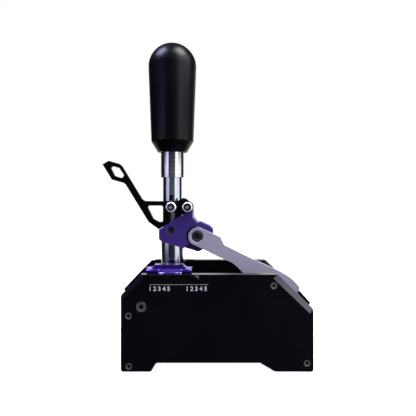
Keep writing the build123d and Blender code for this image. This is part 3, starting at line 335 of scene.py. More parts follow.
def finish(name, look):
    material = bpy.data.materials.new(name)
    material.use_nodes = True
    tree = material.node_tree
    shader = tree.nodes["Principled BSDF"]
    shader.inputs["Metallic"].default_value = look.get("metallic", 0.0)
    shader.inputs["Specular IOR Level"].default_value = look.get("specular", 0.5)
    shader.inputs["Coat Weight"].default_value = look.get("coat", 0.0)
    shader.inputs["Coat Roughness"].default_value = look.get("coatRoughness", 0.1)

    grain = tree.nodes.new("ShaderNodeGroup")
    grain.node_tree = fineGrain
    grain.inputs["Grain Scale"].default_value = look.get("grainScale", 1800.0)
    grain.inputs["Cloud Scale"].default_value = look.get("cloudScale", 35.0)

    colour = tree.nodes.new("ShaderNodeMix")  # base colour, a little lighter and darker in clouds
    colour.data_type = "RGBA"
    colour.inputs["A"].default_value = (*look["colour"], 1)
    colour.inputs["B"].default_value = (*look.get("cloudColour", look["colour"]), 1)
    clouds = rangeNode(tree, grain.outputs["Clouds"], 0.35, 0.65)
    tree.links.new(clouds, colour.inputs["Factor"])
    paint = colour.outputs["Result"]

    roughness = rangeNode(tree, grain.outputs["Clouds"], 0.3, 0.7, look["roughness"] - look.get("spread", 0.04),
                          look["roughness"] + look.get("spread", 0.04))
    height = grain.outputs["Grain"]
    if "stretch" in look:
        lines = tree.nodes.new("ShaderNodeGroup")
        lines.node_tree = toolLines
        lines.inputs["Stretch"].default_value = look["stretch"]
        lines.inputs["Scale"].default_value = look.get("lineScale", 40.0)
        swing = rangeNode(tree, lines.outputs["Lines"], 0.3, 0.7, -look.get("lineRoughness", 0.05),
                          look.get("lineRoughness", 0.05))
        roughness = mathNode(tree, "ADD", roughness, swing)
        height = mathNode(tree, "ADD", lines.outputs["Lines"], mathNode(tree, "MULTIPLY", height, 0.3))
    # convex edges are lightened towards this colour: partly edge wear, mostly a painted highlight along the edges
    if "wearColour" in look:
        wearAndHighlight = tree.nodes.new("ShaderNodeGroup")
        wearAndHighlight.node_tree = edgeWear
        wearAndHighlight.inputs["Radius"].default_value = look.get("wearRadius", 0.8) * mm
        rubbedAndHighlit = tree.nodes.new("ShaderNodeMix")
        rubbedAndHighlit.data_type = "RGBA"
        share = mathNode(tree, "MULTIPLY", wearAndHighlight.outputs["Wear"], look.get("wearShare", 0.7))
        tree.links.new(share, rubbedAndHighlit.inputs["Factor"])
        tree.links.new(paint, rubbedAndHighlit.inputs["A"])
        rubbedAndHighlit.inputs["B"].default_value = (*look["wearColour"], 1)
        paint = rubbedAndHighlit.outputs["Result"]
    tree.links.new(paint, shader.inputs["Base Color"])
    tree.links.new(roughness, shader.inputs["Roughness"])
    bump = tree.nodes.new("ShaderNodeBump")
    bump.inputs["Strength"].default_value = look.get("bump", 0.1)
    bump.inputs["Distance"].default_value = look.get("bumpDepth", 0.05) * mm
    tree.links.new(height, bump.inputs["Height"])
    tree.links.new(bump.outputs["Normal"], shader.inputs["Normal"])
    return material


# each finish's edge colour is a painted edge highlight as well as edge wear
finishes = {
    "anodised_black": finish("blackAnodised", {
        "colour": (0.0012, 0.0012, 0.002), "cloudColour": (0.0018, 0.0018, 0.0028), "specular": 0.45, "roughness": 0.2,
        "spread": 0.04, "grainScale": 2600.0, "bump": 0.06, "wearColour": (0.16, 0.16, 0.18), "wearShare": 0.7,
        "wearRadius": 0.5}),
    "gate_violet": finish("violetPolished", {
        "colour": (0.105, 0.041, 0.43), "cloudColour": (0.117, 0.047, 0.47), "metallic": 0.85, "roughness": 0.2,
        "spread": 0.03, "bump": 0.05, "wearColour": (0.8, 0.68, 1.0), "wearShare": 0.8, "wearRadius": 0.45}),
    "bracket_purple": finish("purpleSatin", {
        "colour": (0.058, 0.026, 0.205), "cloudColour": (0.063, 0.029, 0.22), "metallic": 0.4, "roughness": 0.42,
        "spread": 0.04, "grainScale": 2400.0, "bump": 0.1, "wearColour": (0.3, 0.22, 0.75), "wearShare": 0.8}),
    "blasted_grey": finish("blastedGrey", {
        "colour": (0.372, 0.36, 0.432), "cloudColour": (0.4, 0.388, 0.46), "metallic": 0.2, "roughness": 0.5,
        "grainScale": 2200.0, "bump": 0.4, "bumpDepth": 0.09, "wearColour": (0.85, 0.84, 0.92), "wearShare": 0.8,
        "wearRadius": 0.6}),
    "chrome_tube": finish("groundChrome", {
        "colour": (0.34, 0.365, 0.44), "cloudColour": (0.31, 0.335, 0.405), "metallic": 1.0, "roughness": 0.14,
        "spread": 0.02, "stretch": (8.0, 8.0, 90.0), "lineScale": 45.0, "lineRoughness": 0.03, "bump": 0.04}),
    "collar_steel": finish("turnedSteel", {
        "colour": (0.56, 0.54, 0.56), "cloudColour": (0.5, 0.48, 0.5), "metallic": 1.0, "roughness": 0.16,
        "spread": 0.02, "stretch": (2.0, 2.0, 160.0), "lineScale": 40.0, "lineRoughness": 0.03, "bump": 0.012}),
    "knob_black": finish("knobBlack", {
        "colour": (0.0012, 0.0012, 0.0024), "cloudColour": (0.0018, 0.0018, 0.0032), "specular": 0.15,
        "roughness": 0.34, "spread": 0.02, "grainScale": 1500.0, "bump": 0.04}),
    "dark_screw": finish("darkScrew", {
        "colour": (0.24, 0.2, 0.18), "cloudColour": (0.16, 0.135, 0.12), "cloudScale": 400.0, "metallic": 0.8,
        "roughness": 0.42, "spread": 0.08, "bump": 0.15, "wearColour": (0.6, 0.55, 0.5), "wearRadius": 0.3}),
    "matt_black": finish("mattBlack", {
        "colour": (0.002, 0.002, 0.003), "cloudColour": (0.003, 0.003, 0.004), "specular": 0.0, "roughness": 0.85,
        "spread": 0.05, "grainScale": 1400.0, "bump": 0.3, "bumpDepth": 0.06}),
    "trigger_black": finish("triggerAnodised", {
        "colour": (0.001, 0.001, 0.0012), "cloudColour": (0.0015, 0.0015, 0.0018), "specular": 0.1, "roughness": 0.35,
        "spread": 0.04, "grainScale": 2600.0, "bump": 0.06, "wearColour": (0.08, 0.08, 0.09), "wearShare": 0.6,
        "wearRadius": 0.5}),
    "black_screw": finish("blackOxideScrew", {
        "colour": (0.012, 0.011, 0.011), "cloudColour": (0.02, 0.018, 0.017), "cloudScale": 400.0, "metallic": 0.4,
        "roughness": 0.4, "spread": 0.08, "bump": 0.15, "wearColour": (0.2, 0.18, 0.17), "wearRadius": 0.3,
        "wearShare": 0.6}),
    "bright_steel": finish("brightSteel", {
        "colour": (0.9, 0.89, 0.88), "cloudColour": (0.84, 0.83, 0.82), "cloudScale": 300.0, "metallic": 0.35,
        "specular": 0.8, "roughness": 0.28, "spread": 0.04, "bump": 0.06}),
    "spring_steel": finish("springSteel", {
        "colour": (0.33, 0.33, 0.34), "cloudColour": (0.27, 0.27, 0.28), "metallic": 1.0, "roughness": 0.3,
        "bump": 0.08}),
    "bearing_bronze": finish("bearingBronze", {
        "colour": (0.42, 0.27, 0.11), "cloudColour": (0.36, 0.22, 0.09), "metallic": 1.0, "roughness": 0.42,
        "bump": 0.2}),
    "track_plastic": finish("trackPlastic", {
        "colour": (0.62, 0.61, 0.58), "cloudColour": (0.56, 0.55, 0.52), "roughness": 0.5, "bump": 0.15}),
    "sensor_plastic": finish("sensorPlastic", {
        "colour": (0.02, 0.02, 0.022), "cloudColour": (0.026, 0.026, 0.028), "roughness": 0.55, "bump": 0.2}),
    "board_green": finish("boardGreen", {
        "colour": (0.012, 0.09, 0.035), "cloudColour": (0.016, 0.11, 0.045), "roughness": 0.32, "coat": 0.3,
        "bump": 0.08}),
    "standoff_brass": finish("standoffBrass", {
        "colour": (0.6, 0.43, 0.17), "cloudColour": (0.53, 0.37, 0.14), "metallic": 1.0, "roughness": 0.28,
        "bump": 0.08}),
    "inlet_metal": finish("inletMetal", {
        "colour": (0.52, 0.52, 0.53), "cloudColour": (0.46, 0.46, 0.47), "metallic": 1.0, "roughness": 0.28,
        "bump": 0.08}),
    "pointer_grey": finish("pointerGrey", {
        "colour": (0.09, 0.09, 0.11), "cloudColour": (0.11, 0.11, 0.13), "metallic": 0.3, "roughness": 0.45,
        "bump": 0.1, "wearColour": (0.2, 0.2, 0.22)}),
}
slotOf = {part["node"]: part["material_slot"] for part in frame["record"]["subparts"]}
for nodeName, node in nodes.items():
    node.data.materials.clear()
    node.data.materials.append(finishes[slotOf[nodeName]])
bodyOf = {name: body for body, members in frame["record"]["behaviour"]["bodies"].items() for name in members}
print("finishes made")


def dress(nodeName, newName, width, shape=None):  # rounded edges, after the cuts that shape makes
    obj = nodeCopy(nodeName, newName)
    if shape:
        shape(obj)
    bevelEdges(obj, width * mm)
    flatFaces(obj)
    return finishPiece(obj, bodyOf[nodeName], finishes[slotOf[nodeName]], [nodeName])


# Cuts that some of the frame's shapes get before their edges are rounded

slopeSizes = {"across": (0.692, 0.722), "bevelWidth": 2.3, "inner": 42.0, "bevelFacing": (0.279, -0.915, 0.291)}


def innerBevel(obj):  # the far plate's inner edge along the rear slope is bevelled as well
    acrossX, acrossZ = slopeSizes["across"]
    reach = max(vertex.co.x * acrossX + vertex.co.z * acrossZ for vertex in obj.data.vertices) / mm
    reach -= slopeSizes["bevelWidth"]
    bisectAway(obj, (acrossX * reach, slopeSizes["inner"], acrossZ * reach), slopeSizes["bevelFacing"])


coverSizes = {"slopeStart": (53.6, 0, 84.5), "slopeFall": 0.895, "slopeLow": (-12, -45, 0), "slopeHigh": (31, 45, 12),
              "levelLow": (40, -45, 79.5), "levelHigh": (59.1, 45, 95)}


def recessedCover(obj):  # lower than the plates beside the arm's tail, as in the photograph
    cutter = block("coverCutter", coverSizes["slopeLow"], coverSizes["slopeHigh"])
    turn = Matrix.Rotation(math.atan(coverSizes["slopeFall"]), 4, "Y")
    cutter.data.transform(shift(*coverSizes["slopeStart"]) @ turn)
    cutAway(obj, cutter)
    cutAway(obj, block("coverCutter", coverSizes["levelLow"], coverSizes["levelHigh"]))


gateSizes = {"padBack": -27.0, "trayTop": 87.9, "trayEdge": 0.3, "grooveLow": (-52.0, -38.0, 88.2),
             "grooveHigh": (-33.0, -34.8, 90.3)}


def nearPad(obj):  # the gate block's violet part, near the plate
    bisectAway(obj, (0, gateSizes["padBack"], 0), (0, 1, 0))
    cutAway(obj, block("grooveCutter", gateSizes["grooveLow"], gateSizes["grooveHigh"]))


def blackTray(obj):  # the rest of the gate block, black and lower
    bisectAway(obj, (0, gateSizes["padBack"], 0), (0, -1, 0))
    bisectAway(obj, (0, 0, gateSizes["trayTop"]), (0, 0, 1))


strapSizes = {"top": 86.62, "face": -50.35, "legLow": (-24.0, -41.2, 83.5), "legHigh": (-13.0, -36.0, 90.0)}


def thinStrap(obj):  # the pointer's hook is a thin strap over the plate, and its wedge is a piece of its own
    bisectAway(obj, (0, 0, strapSizes["top"]), (0, 0, 1))
    bisectAway(obj, (0, strapSizes["face"], 0), (0, -1, 0))
    cutAway(obj, block("legCutter", strapSizes["legLow"], strapSizes["legHigh"]))


# Plates, covers and blocks: the frame's own shapes with broken edges
brokenEdges = {
    "side_plate_near": 0.35, "side_plate_far": 0.35, "front_slope_cover": 0.4, "rear_slope_cover": 0.3,
    "front_panel": 0.3, "rear_panel": 0.3, "gate_portal": 0.3, "gate_block": 0.4, "bracket": 0.5,
    "carrier_arm": 0.35, "trigger_plate": 0.35, "mode_pointer": 0.03, "mode_slider": 0.2, "base_plate": 0.3,
    "front_bearing_block": 0.3, "rear_bearing_block": 0.3, "front_bar": 0.3, "spring_post": 0.3,
    "lever_foot": 0.2, "detent_track": 0.3,
}
reshaped = {"gate_block": nearPad, "rear_slope_cover": recessedCover, "mode_pointer": thinStrap,
            "side_plate_far": innerBevel}
ownFinish = {"front_slope_cover": "matt_black", "rear_slope_cover": "matt_black", "gate_portal": "matt_black",
             "trigger_plate": "trigger_black", "mode_pointer": "anodised_black"}
for nodeName, width in brokenEdges.items():
    firstWord, *otherWords = nodeName.split("_")
    newName = firstWord + "".join(word.capitalize() for word in otherWords)
    piece = dress(nodeName, newName, width, reshaped.get(nodeName))
    if nodeName in ownFinish:
        piece.data.materials[0] = finishes[ownFinish[nodeName]]
gateTray = dress("gate_block", "gateTray", gateSizes["trayEdge"], blackTray)
gateTray.data.materials[0] = finishes["matt_black"]

# The gate's ledge over the near plate, with a flange on either side
ledgeSizes = {"low": (-53.2, -49.85, 87.0), "high": (-32.2, -39.6, 90.1), "frontTop": 89.45, "corner": 1.3,
              "cornerSegments": 4, "edge": 0.3}
gateLedge = block("gateLedge", ledgeSizes["low"], ledgeSizes["high"])
back, top = ledgeSizes["high"][1:]
leftEnd, rightEnd = ledgeSizes["low"][0] + touch, ledgeSizes["high"][0] - touch
frontEnd = ledgeSizes["low"][1] + touch
corner, segments = ledgeSizes["corner"], ledgeSizes["cornerSegments"]
bevelSome(gateLedge, lambda x, y, z: y < frontEnd and x < leftEnd, corner, segments)
bevelSome(gateLedge, lambda x, y, z: y < frontEnd and x > rightEnd, corner, segments)
bisectAway(gateLedge, (0, back, top), (0, ledgeSizes["frontTop"] - top, back - frontEnd))
bevelEdges(gateLedge, ledgeSizes["edge"] * mm)
flatFaces(gateLedge)
finishPiece(gateLedge, "housing", finishes["gate_violet"])

flangeSizes = {"front": -43.6, "back": -35.9, "bottom": 87.0, "top": 90.0, "slope": 0.8, "edge": 0.4,
               "spans": {"gateFlangeFront": (-63.8, -52.6), "gateFlangeRear": (-32.8, -23.3)}}
for name, (left, right) in flangeSizes["spans"].items():
    flange = block(name, (left, flangeSizes["front"], flangeSizes["bottom"]),
                   (right, flangeSizes["back"], flangeSizes["top"]))
    bevelSome(flange, lambda x, y, z: y < flangeSizes["front"] + touch and z > flangeSizes["top"] - touch,
              flangeSizes["slope"])
    bevelEdges(flange, flangeSizes["edge"] * mm)
    flatFaces(flange)
    finishPiece(flange, "housing", finishes["gate_violet"])

wedgeSizes = {"left": -20.05, "right": -16.35, "top": 85.75, "tip": 81.9, "tipWidth": 0.5, "front": -51.3, "edge": 0.12}
left, right, top, tip = (wedgeSizes[key] for key in ("left", "right", "top", "tip"))
pointerWedge = block("pointerWedge", (left, wedgeSizes["front"], tip), (right, strapSizes["face"] + touch, top))
bisectAway(pointerWedge, (left, 0, top), (tip - top, 0, left - right + wedgeSizes["tipWidth"]))
bevelEdges(pointerWedge, wedgeSizes["edge"] * mm)
flatFaces(pointerWedge)
finishPiece(pointerWedge, "mode", finishes["pointer_grey"])
print("plates and blocks dressed")

# The lever's stack, turned
leverX = -44.45
leverPlace = (leverX * mm, 0)
leverSides = 128

knobSizes = {"baseRadius": 14.65, "bottom": 199.9, "coneHeight": 10.8, "lowRadius": 21.0, "radius": 23.8,
             "shoulder": 284.7, "bore": 9.4, "boreTop": 240.0, "boreChamfer": 0.4, "baseEdge": (0.5, 0.3),
             "coneTurn": ((-0.75, -1.1), (-0.28, -0.35), (-0.05, 0.35), (0.03, 1.1))}
bore, bottom, chamfer = knobSizes["bore"], knobSizes["bottom"], knobSizes["boreChamfer"]
baseRadius, (edgeIn, edgeUp) = knobSizes["baseRadius"], knobSizes["baseEdge"]
coneTop = bottom + knobSizes["coneHeight"]
knobProfile = [(0, knobSizes["boreTop"]), (bore, knobSizes["boreTop"]), (bore, bottom + chamfer),
               (bore + chamfer, bottom), (baseRadius - edgeIn, bottom), (baseRadius, bottom + edgeUp)]
knobProfile += [(knobSizes["lowRadius"] + out, coneTop + up) for out, up in knobSizes["coneTurn"]]
knobProfile += arcPoints(0, knobSizes["shoulder"], knobSizes["radius"], 0, 90, 24)
knob = turnedPiece("knobTurned", knobProfile, leverPlace, leverSides)
smooth(knob, 40)
finishPiece(knob, "lever", finishes["knob_black"], ["knob"])

collarSizes = {"radius": 11.5, "bore": 9.4, "bottom": 174.7, "top": 199.9, "chamfer": 0.35, "rimTop": 177.0,
               "grooveDepth": 0.3, "grooveWidth": 0.3, "grooveWall": 0.1}
radius, bore, bottom, top, chamfer = (collarSizes[key] for key in ("radius", "bore", "bottom", "top", "chamfer"))
grooveLow, wall = collarSizes["rimTop"], collarSizes["grooveWall"]
grooveHigh, grooveRadius = grooveLow + collarSizes["grooveWidth"], radius - collarSizes["grooveDepth"]
collar = turnedPiece("collarTurned", [
    (bore, top), (bore, bottom + chamfer), (bore + chamfer, bottom), (radius - chamfer, bottom),
    (radius, bottom + chamfer), (radius, grooveLow - wall), (grooveRadius, grooveLow + wall),
    (grooveRadius, grooveHigh - wall), (radius, grooveHigh + wall), (radius, top - chamfer), (radius - chamfer, top),
    (bore, top)], leverPlace, leverSides)
smooth(collar)
finishPiece(collar, "lever", finishes["collar_steel"], ["collar"])

rodSizes = {"radius": 9.4, "bore": 5.0, "bottom": 100.0, "top": 240.0, "chamfer": 0.4,
            "slotHalf": 2.5, "slotLow": 142.8, "slotHigh": 157.6, "slotDepth": 12.0}
radius, bore, bottom, top, chamfer = (rodSizes[key] for key in ("radius", "bore", "bottom", "top", "chamfer"))
rod = turnedPiece("rodTurned", [
    (bore, top), (bore, bottom), (radius - chamfer, bottom), (radius, bottom + chamfer), (radius, top - chamfer),
    (radius - chamfer, top), (bore, top)], leverPlace, leverSides)
slotHalf, slotDepth = rodSizes["slotHalf"], rodSizes["slotDepth"]
slotCentre = rodSizes["slotHigh"] - slotHalf
bpy.ops.object.select_all(action="DESELECT")
bpy.ops.mesh.primitive_cylinder_add(vertices=48, radius=slotHalf * mm, depth=slotDepth * mm,
                                    location=(leverX * mm, -slotDepth / 2 * mm, slotCentre * mm),
                                    rotation=(quarterTurn, 0, 0))
slotCutter = bpy.context.object
settle(slotCutter)
bpy.ops.object.mode_set(mode="EDIT")  # the lower half of the round is pulled down to make the slot
bpy.ops.mesh.select_all(action="DESELECT")
bpy.ops.object.mode_set(mode="OBJECT")
for vertex in slotCutter.data.vertices:
    vertex.select = vertex.co.z < (slotCentre - 0.01) * mm
bpy.ops.object.mode_set(mode="EDIT")
bpy.ops.mesh.select_mode(type="VERT")
bpy.ops.transform.translate(value=(0, 0, -(rodSizes["slotHigh"] - rodSizes["slotLow"] - slotHalf * 2) * mm))
bpy.ops.object.mode_set(mode="OBJECT")
cutAway(rod, slotCutter)
smooth(rod)
finishPiece(rod, "lever", finishes["chrome_tube"], ["rod"])

sleeveSizes = {"radius": 11.1, "bore": 9.4, "bottom": 84.0, "top": 119.0, "chamfer": 0.35}
radius, bore, bottom, top, chamfer = (sleeveSizes[key] for key in ("radius", "bore", "bottom", "top", "chamfer"))
sleeve = turnedPiece("sleeveTurned", [
    (bore, top), (bore, bottom), (radius - chamfer, bottom), (radius, bottom + chamfer), (radius, top), (bore, top)],
    leverPlace, leverSides)
smooth(sleeve)
finishPiece(sleeve, "lever", finishes["chrome_tube"], ["sleeve"])
print("lever turned")


# Screws: turned blanks with hexagon sockets
blankSizes = {"sides": 64, "tip": 0.3, "foot": 0.15, "dishWall": 0.15, "dishDepth": 0.12, "capDishWall": 0.25}


def countersunkScrew(sizes):  # head face at height 0
    length, shank, head, edge, dish = (sizes[key] for key in ("length", "radius", "head", "edge", "dish"))
    tip, dishFloor = blankSizes["tip"], -blankSizes["dishDepth"]
    blank = turnedPiece("screwBlank", [
        (0, -length), (shank - tip, -length), (shank, -length + tip), (shank, shank - head),
        (head - edge * 0.3, -edge), (head - edge, 0), (dish, 0), (dish - blankSizes["dishWall"], dishFloor),
        (0, dishFloor)], sides=blankSizes["sides"])
    cutAway(blank, hexCutter(sizes["across"], sizes["depth"], 0))
    smooth(blank)
    return blank


def capScrew(sizes):  # head base at height 0, shank below it
    length, shank, head, edge, dish = (sizes[key] for key in ("length", "radius", "head", "edge", "dish"))
    tip, foot, high = blankSizes["tip"], blankSizes["foot"], sizes["high"]
    dishFloor = high - sizes["dishDepth"]
    blank = turnedPiece("screwBlank", [
        (0, -length), (shank - tip, -length), (shank, -length + tip), (shank, 0), (head - foot, 0), (head, foot),
        (head, high - edge), (head - 0.12, high - edge * 0.7), (head - edge + 0.1, high - 0.05), (head - edge, high),
        (dish, high), (dish - blankSizes["capDishWall"], dishFloor), (0, dishFloor)], sides=blankSizes["sides"])
    cutAway(blank, hexCutter(sizes["across"], sizes["depth"], high))
    smooth(blank)
    return blank


def socketShadePlug(sizes):  # a black plug in the hexagon socket, from its depth up to the floor's height: painted shade that darkens the socket
    plug = hexCutter(sizes["across"] - sizes["plugPlay"], sizes["depth"] - sizes["floor"] - overshoot,
                     -sizes["floor"] - overshoot)
    settle(plug)
    bevelEdges(plug, sizes["plugEdge"] * mm, 1)
    return plug


plateFace = 50.0
smallScrewSizes = {"radius": 1.5, "head": 3.1, "length": 18.0, "edge": 0.25, "dish": 2.4, "across": 2.6, "depth": 2.0,
                   "floor": 0.35, "plugPlay": 0.04, "plugEdge": 0.08,
                   "places": ((-79.0, 49.7), (-78.6, 4.9), (80.0, 7.7), (50.5, 76.6))}
largeScrewSizes = {"radius": 2.5, "head": 4.8, "length": 26.0, "edge": 0.3, "dish": 3.7, "across": 3.7, "depth": 2.8,
                   "floor": 0.4, "plugPlay": 0.04, "plugEdge": 0.08, "places": ((-67.6, 57.7),)}


def onBothPlates(places):
    return [facing(sign, x, sign * plateFace, z) for sign in (-1, 1) for x, z in places]


for name, nodeName, sizes in (("plateScrews", "side_screws", smallScrewSizes),
                              ("barScrewsTurned", "bar_screws", largeScrewSizes)):
    screws = placedCopies(countersunkScrew(sizes), onBothPlates(sizes["places"]), name)
    finishPiece(screws, "housing", finishes["dark_screw"], [nodeName])
# black plugs in the screws' sockets are painted shade
for name, sizes in (("plateScrewFloors", smallScrewSizes), ("barScrewFloors", largeScrewSizes)):
    shadePlugs = placedCopies(socketShadePlug(sizes), onBothPlates(sizes["places"]), name)
    finishPiece(shadePlugs, "housing", finishes["matt_black"])

# The two link bolts are bright, with a black disc around the socket, painted shade for the socket's dark centre
linkBoltSizes = {"radius": 2.0, "head": 4.95, "high": 3.6, "edge": 0.9, "dish": 3.9, "dishDepth": 0.3, "across": 3.0,
                 "depth": 2.0, "seat": -14.2, "height": 145.6}
linkBolts = {"triggerBolt": {"node": "trigger_bolt", "body": "lever", "x": -28.6, "length": 20.5},
             "pullBolt": {"node": "pull_bolt", "body": "pull", "x": leverX, "length": 14.2}}
for name, link in linkBolts.items():
    bolt = placedCopies(capScrew({**linkBoltSizes, "length": link["length"]}),
                        [facing(-1, link["x"], linkBoltSizes["seat"], linkBoltSizes["height"])], name + "Turned")
    finishPiece(bolt, link["body"], finishes["bright_steel"], [link["node"]])

socketShadeSizes = {"radius": 3.6, "thick": 0.25, "edge": 0.12, "across": 2.8, "depth": 2.0}
radius, thick, edge = socketShadeSizes["radius"], socketShadeSizes["thick"], socketShadeSizes["edge"]
socketShadeSeat = linkBoltSizes["seat"] - linkBoltSizes["high"] + linkBoltSizes["dishDepth"]
# the black disc in each bolt's dish is painted shade of the socket
for name, link in linkBolts.items():
    socketShade = turnedPiece("socketBlank", [(0, 0), (radius, 0), (radius, thick - edge), (radius - edge, thick),
                                         (0, thick)], sides=blankSizes["sides"])
    cutAway(socketShade, hexCutter(socketShadeSizes["across"], socketShadeSizes["depth"], thick))
    smooth(socketShade)
    socketShade = placedCopies(socketShade, [facing(-1, link["x"], socketShadeSeat, linkBoltSizes["height"])], name + "Socket")
    finishPiece(socketShade, link["body"], finishes["black_screw"])

clampSizes = {"radius": 2.5, "head": 3.7, "high": 2.4, "edge": 0.3, "dish": 2.9, "dishDepth": 0.15, "across": 2.5,
              "depth": 1.6, "length": 2.4, "place": (leverX, -11.8, 123.3)}
clampScrew = placedCopies(capScrew(clampSizes), [facing(-1, *clampSizes["place"])], "clampScrewTurned")
finishPiece(clampScrew, "lever", finishes["black_screw"], ["clamp_screw"])

pivotSizes = {"radius": 3.0, "head": 5.0, "high": 2.6, "edge": 0.5, "dish": 3.8, "dishDepth": 0.2, "across": 3.0,
              "depth": 1.9, "length": 25.5, "place": (-19.2, -11.5, 117.2)}
pivotBolt = placedCopies(capScrew(pivotSizes), [facing(-1, *pivotSizes["place"])], "pivotBoltTurned")
finishPiece(pivotBolt, "carrier", finishes["black_screw"], ["pivot_bolt"])

gateScrewSizes = {"radius": 2.0, "head": 3.5, "high": 2.0, "edge": 0.3, "dish": 2.6, "dishDepth": 0.15, "across": 2.5,
                  "depth": 1.4, "length": 10.0, "apart": 8.5, "nearSeat": (-28.0, 91.2), "farSeat": (28.0, 85.9)}
gatePlaces = [shift(leverX + sign * gateScrewSizes["apart"], y, z) for sign in (-1, 1)
              for y, z in (gateScrewSizes["nearSeat"], gateScrewSizes["farSeat"])]
gateScrews = placedCopies(capScrew(gateScrewSizes), gatePlaces, "gateScrewsTurned")
finishPiece(gateScrews, "housing", finishes["dark_screw"], ["gate_screws"])
print("screws made")


# Springs: one wire each, wound by the Screw modifier

def woundSpring(name, sizes, place):
    bpy.ops.object.select_all(action="DESELECT")
    wireMiddle = sizes["radius"] - sizes["wire"]
    bpy.ops.mesh.primitive_circle_add(vertices=12, radius=sizes["wire"] * mm, fill_type="NGON",
                                      location=(wireMiddle * mm, 0, 0), rotation=(quarterTurn, 0, 0))
    obj = bpy.context.object
    obj.name = name
    settle(obj)
    winding = obj.modifiers.new("winding", "SCREW")
    winding.axis = "Z"
    winding.angle = 2 * math.pi
    winding.iterations = sizes["turns"]
    winding.steps = winding.render_steps = 24
    winding.screw_offset = (sizes["length"] - sizes["wire"] * 2) / sizes["turns"] * mm
    applyModifier(obj, winding)
    obj.data.transform(place @ shift(0, 0, sizes["wire"]))
    closeUp(obj)
    smooth(obj, 60)
    obj.data.materials.clear()
    obj.data.materials.append(finishes["spring_steel"])
    return obj


pitchSpringSizes = {"radius": 5.0, "wire": 0.7, "turns": 9, "length": 30.35, "height": 42.0}
height = pitchSpringSizes["height"]
for name, nodeName, fixedX, movingX in (("woundFrontPitchSpring", "pitch_spring_front", -81.8, -51.45),
                                        ("woundRearPitchSpring", "pitch_spring_rear", -7.1, -37.45)):
    spring = woundSpring(name, pitchSpringSizes,
                         shift(min(fixedX, movingX), 0, height) @ Matrix.Rotation(quarterTurn, 4, "Y"))
    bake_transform(spring)
    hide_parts(nodeName)

rollSpringSizes = {"radius": 5.0, "wire": 0.7, "turns": 7, "length": 22.0, "x": 49.0, "bottom": 14.0}
x, low, high = rollSpringSizes["x"], rollSpringSizes["bottom"], rollSpringSizes["bottom"] + rollSpringSizes["length"]
for name, nodeName, y in (("woundNearRollSpring", "roll_spring_near", -19.0),
                          ("woundFarRollSpring", "roll_spring_far", 19.0)):
    spring = woundSpring(name, rollSpringSizes, shift(x, y, low))
    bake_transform(spring)
    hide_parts(nodeName)

pullSpringSizes = {"radius": 4.4, "wire": 0.45, "turns": 12, "length": 33.0, "bottom": 152.0, "endTurn": 1.0}
low, high = pullSpringSizes["bottom"], pullSpringSizes["bottom"] + pullSpringSizes["length"]
spring = woundSpring("woundPullSpring", pullSpringSizes, shift(leverX, 0, low))
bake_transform(spring)
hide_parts("pull_spring")
print("springs wound")

# Printed line on the near plate, with plain numerals under its ends
labelSizes = {"left": -60.6, "right": -7.7, "height": 77.6, "thick": 0.42, "proud": 0.06, "numerals": "1 2 3 4 5",
              "textSize": 5.265, "textFat": 0.13, "textHeight": 72.2,
              "textLefts": {"labelNumerals": -60.9, "labelNumeralsRear": -28.0}}
labelPaint = finish("labelPaint", {"colour": (0.7, 0.7, 0.72), "cloudColour": (0.8, 0.8, 0.82), "roughness": 0.6,
                                   "bump": 0.1})
linePaint = finish("linePaint", {"colour": (0.3, 0.3, 0.31), "cloudColour": (0.36, 0.36, 0.37), "roughness": 0.6,
                                 "bump": 0.1})
lineLow = labelSizes["height"] - labelSizes["thick"] / 2
labelLine = block("labelLine", (labelSizes["left"], -plateFace - labelSizes["proud"], lineLow),
                  (labelSizes["right"], -plateFace, lineLow + labelSizes["thick"]))
finishPiece(labelLine, "housing", linePaint)
for name, left in labelSizes["textLefts"].items():
    bpy.ops.object.select_all(action="DESELECT")
    bpy.ops.object.text_add(location=(left * mm, -plateFace * mm, labelSizes["textHeight"] * mm),
                            rotation=(quarterTurn, 0, 0))
    text = bpy.context.object
    text.name = name
    text.data.body = labelSizes["numerals"]
    text.data.size = labelSizes["textSize"] * mm
    text.data.offset = labelSizes["textFat"] * mm
    text.data.extrude = labelSizes["proud"] / 2 * mm
    bpy.ops.object.convert(target="MESH")
    text = bpy.context.object
    settle(text)
    text.data.transform(shift(0, -labelSizes["proud"] / 2, 0))
    closeUp(text)
    finishPiece(text, "housing", labelPaint)
print("label printed")


# Floor, light and camera

def cameraMix(tree, otherColour, cameraColour):  # what the camera sees, and what every other ray meets
    lightPath = tree.nodes.new("ShaderNodeLightPath")
    mix = tree.nodes.new("ShaderNodeMix")
    mix.data_type = "RGBA"
    tree.links.new(lightPath.outputs["Is Camera Ray"], mix.inputs["Factor"])
    mix.inputs["A"].default_value = (*otherColour, 1)
    mix.inputs["B"].default_value = (*cameraColour, 1)
    return lightPath.outputs["Is Camera Ray"], mix.outputs["Result"]


floorSizes = {"size": 12.0, "drop": 0.05, "shade": (0.85, 0.85, 0.85), "darkShade": (0.02, 0.02, 0.022), "glow": 1.0,
              "roughness": 0.9, "specular": 0.1}
bpy.ops.object.select_all(action="DESELECT")
bpy.ops.mesh.primitive_plane_add(size=floorSizes["size"], location=(0, 0, -floorSizes["drop"] * mm))
floor = bpy.context.object
floor.name = "studioFloor"
settle(floor)
floorPaint = bpy.data.materials.new("floorPaint")
floorPaint.use_nodes = True
tree = floorPaint.node_tree
shader = tree.nodes["Principled BSDF"]
shader.inputs["Roughness"].default_value = floorSizes["roughness"]
shader.inputs["Specular IOR Level"].default_value = floorSizes["specular"]
shader.inputs["Emission Color"].default_value = (1, 1, 1, 1)
cameraRay, colour = cameraMix(tree, floorSizes["darkShade"], floorSizes["shade"])
tree.links.new(colour, shader.inputs["Base Color"])
tree.links.new(rangeNode(tree, cameraRay, 0.0, 1.0, 0.0, floorSizes["glow"]), shader.inputs["Emission Strength"])
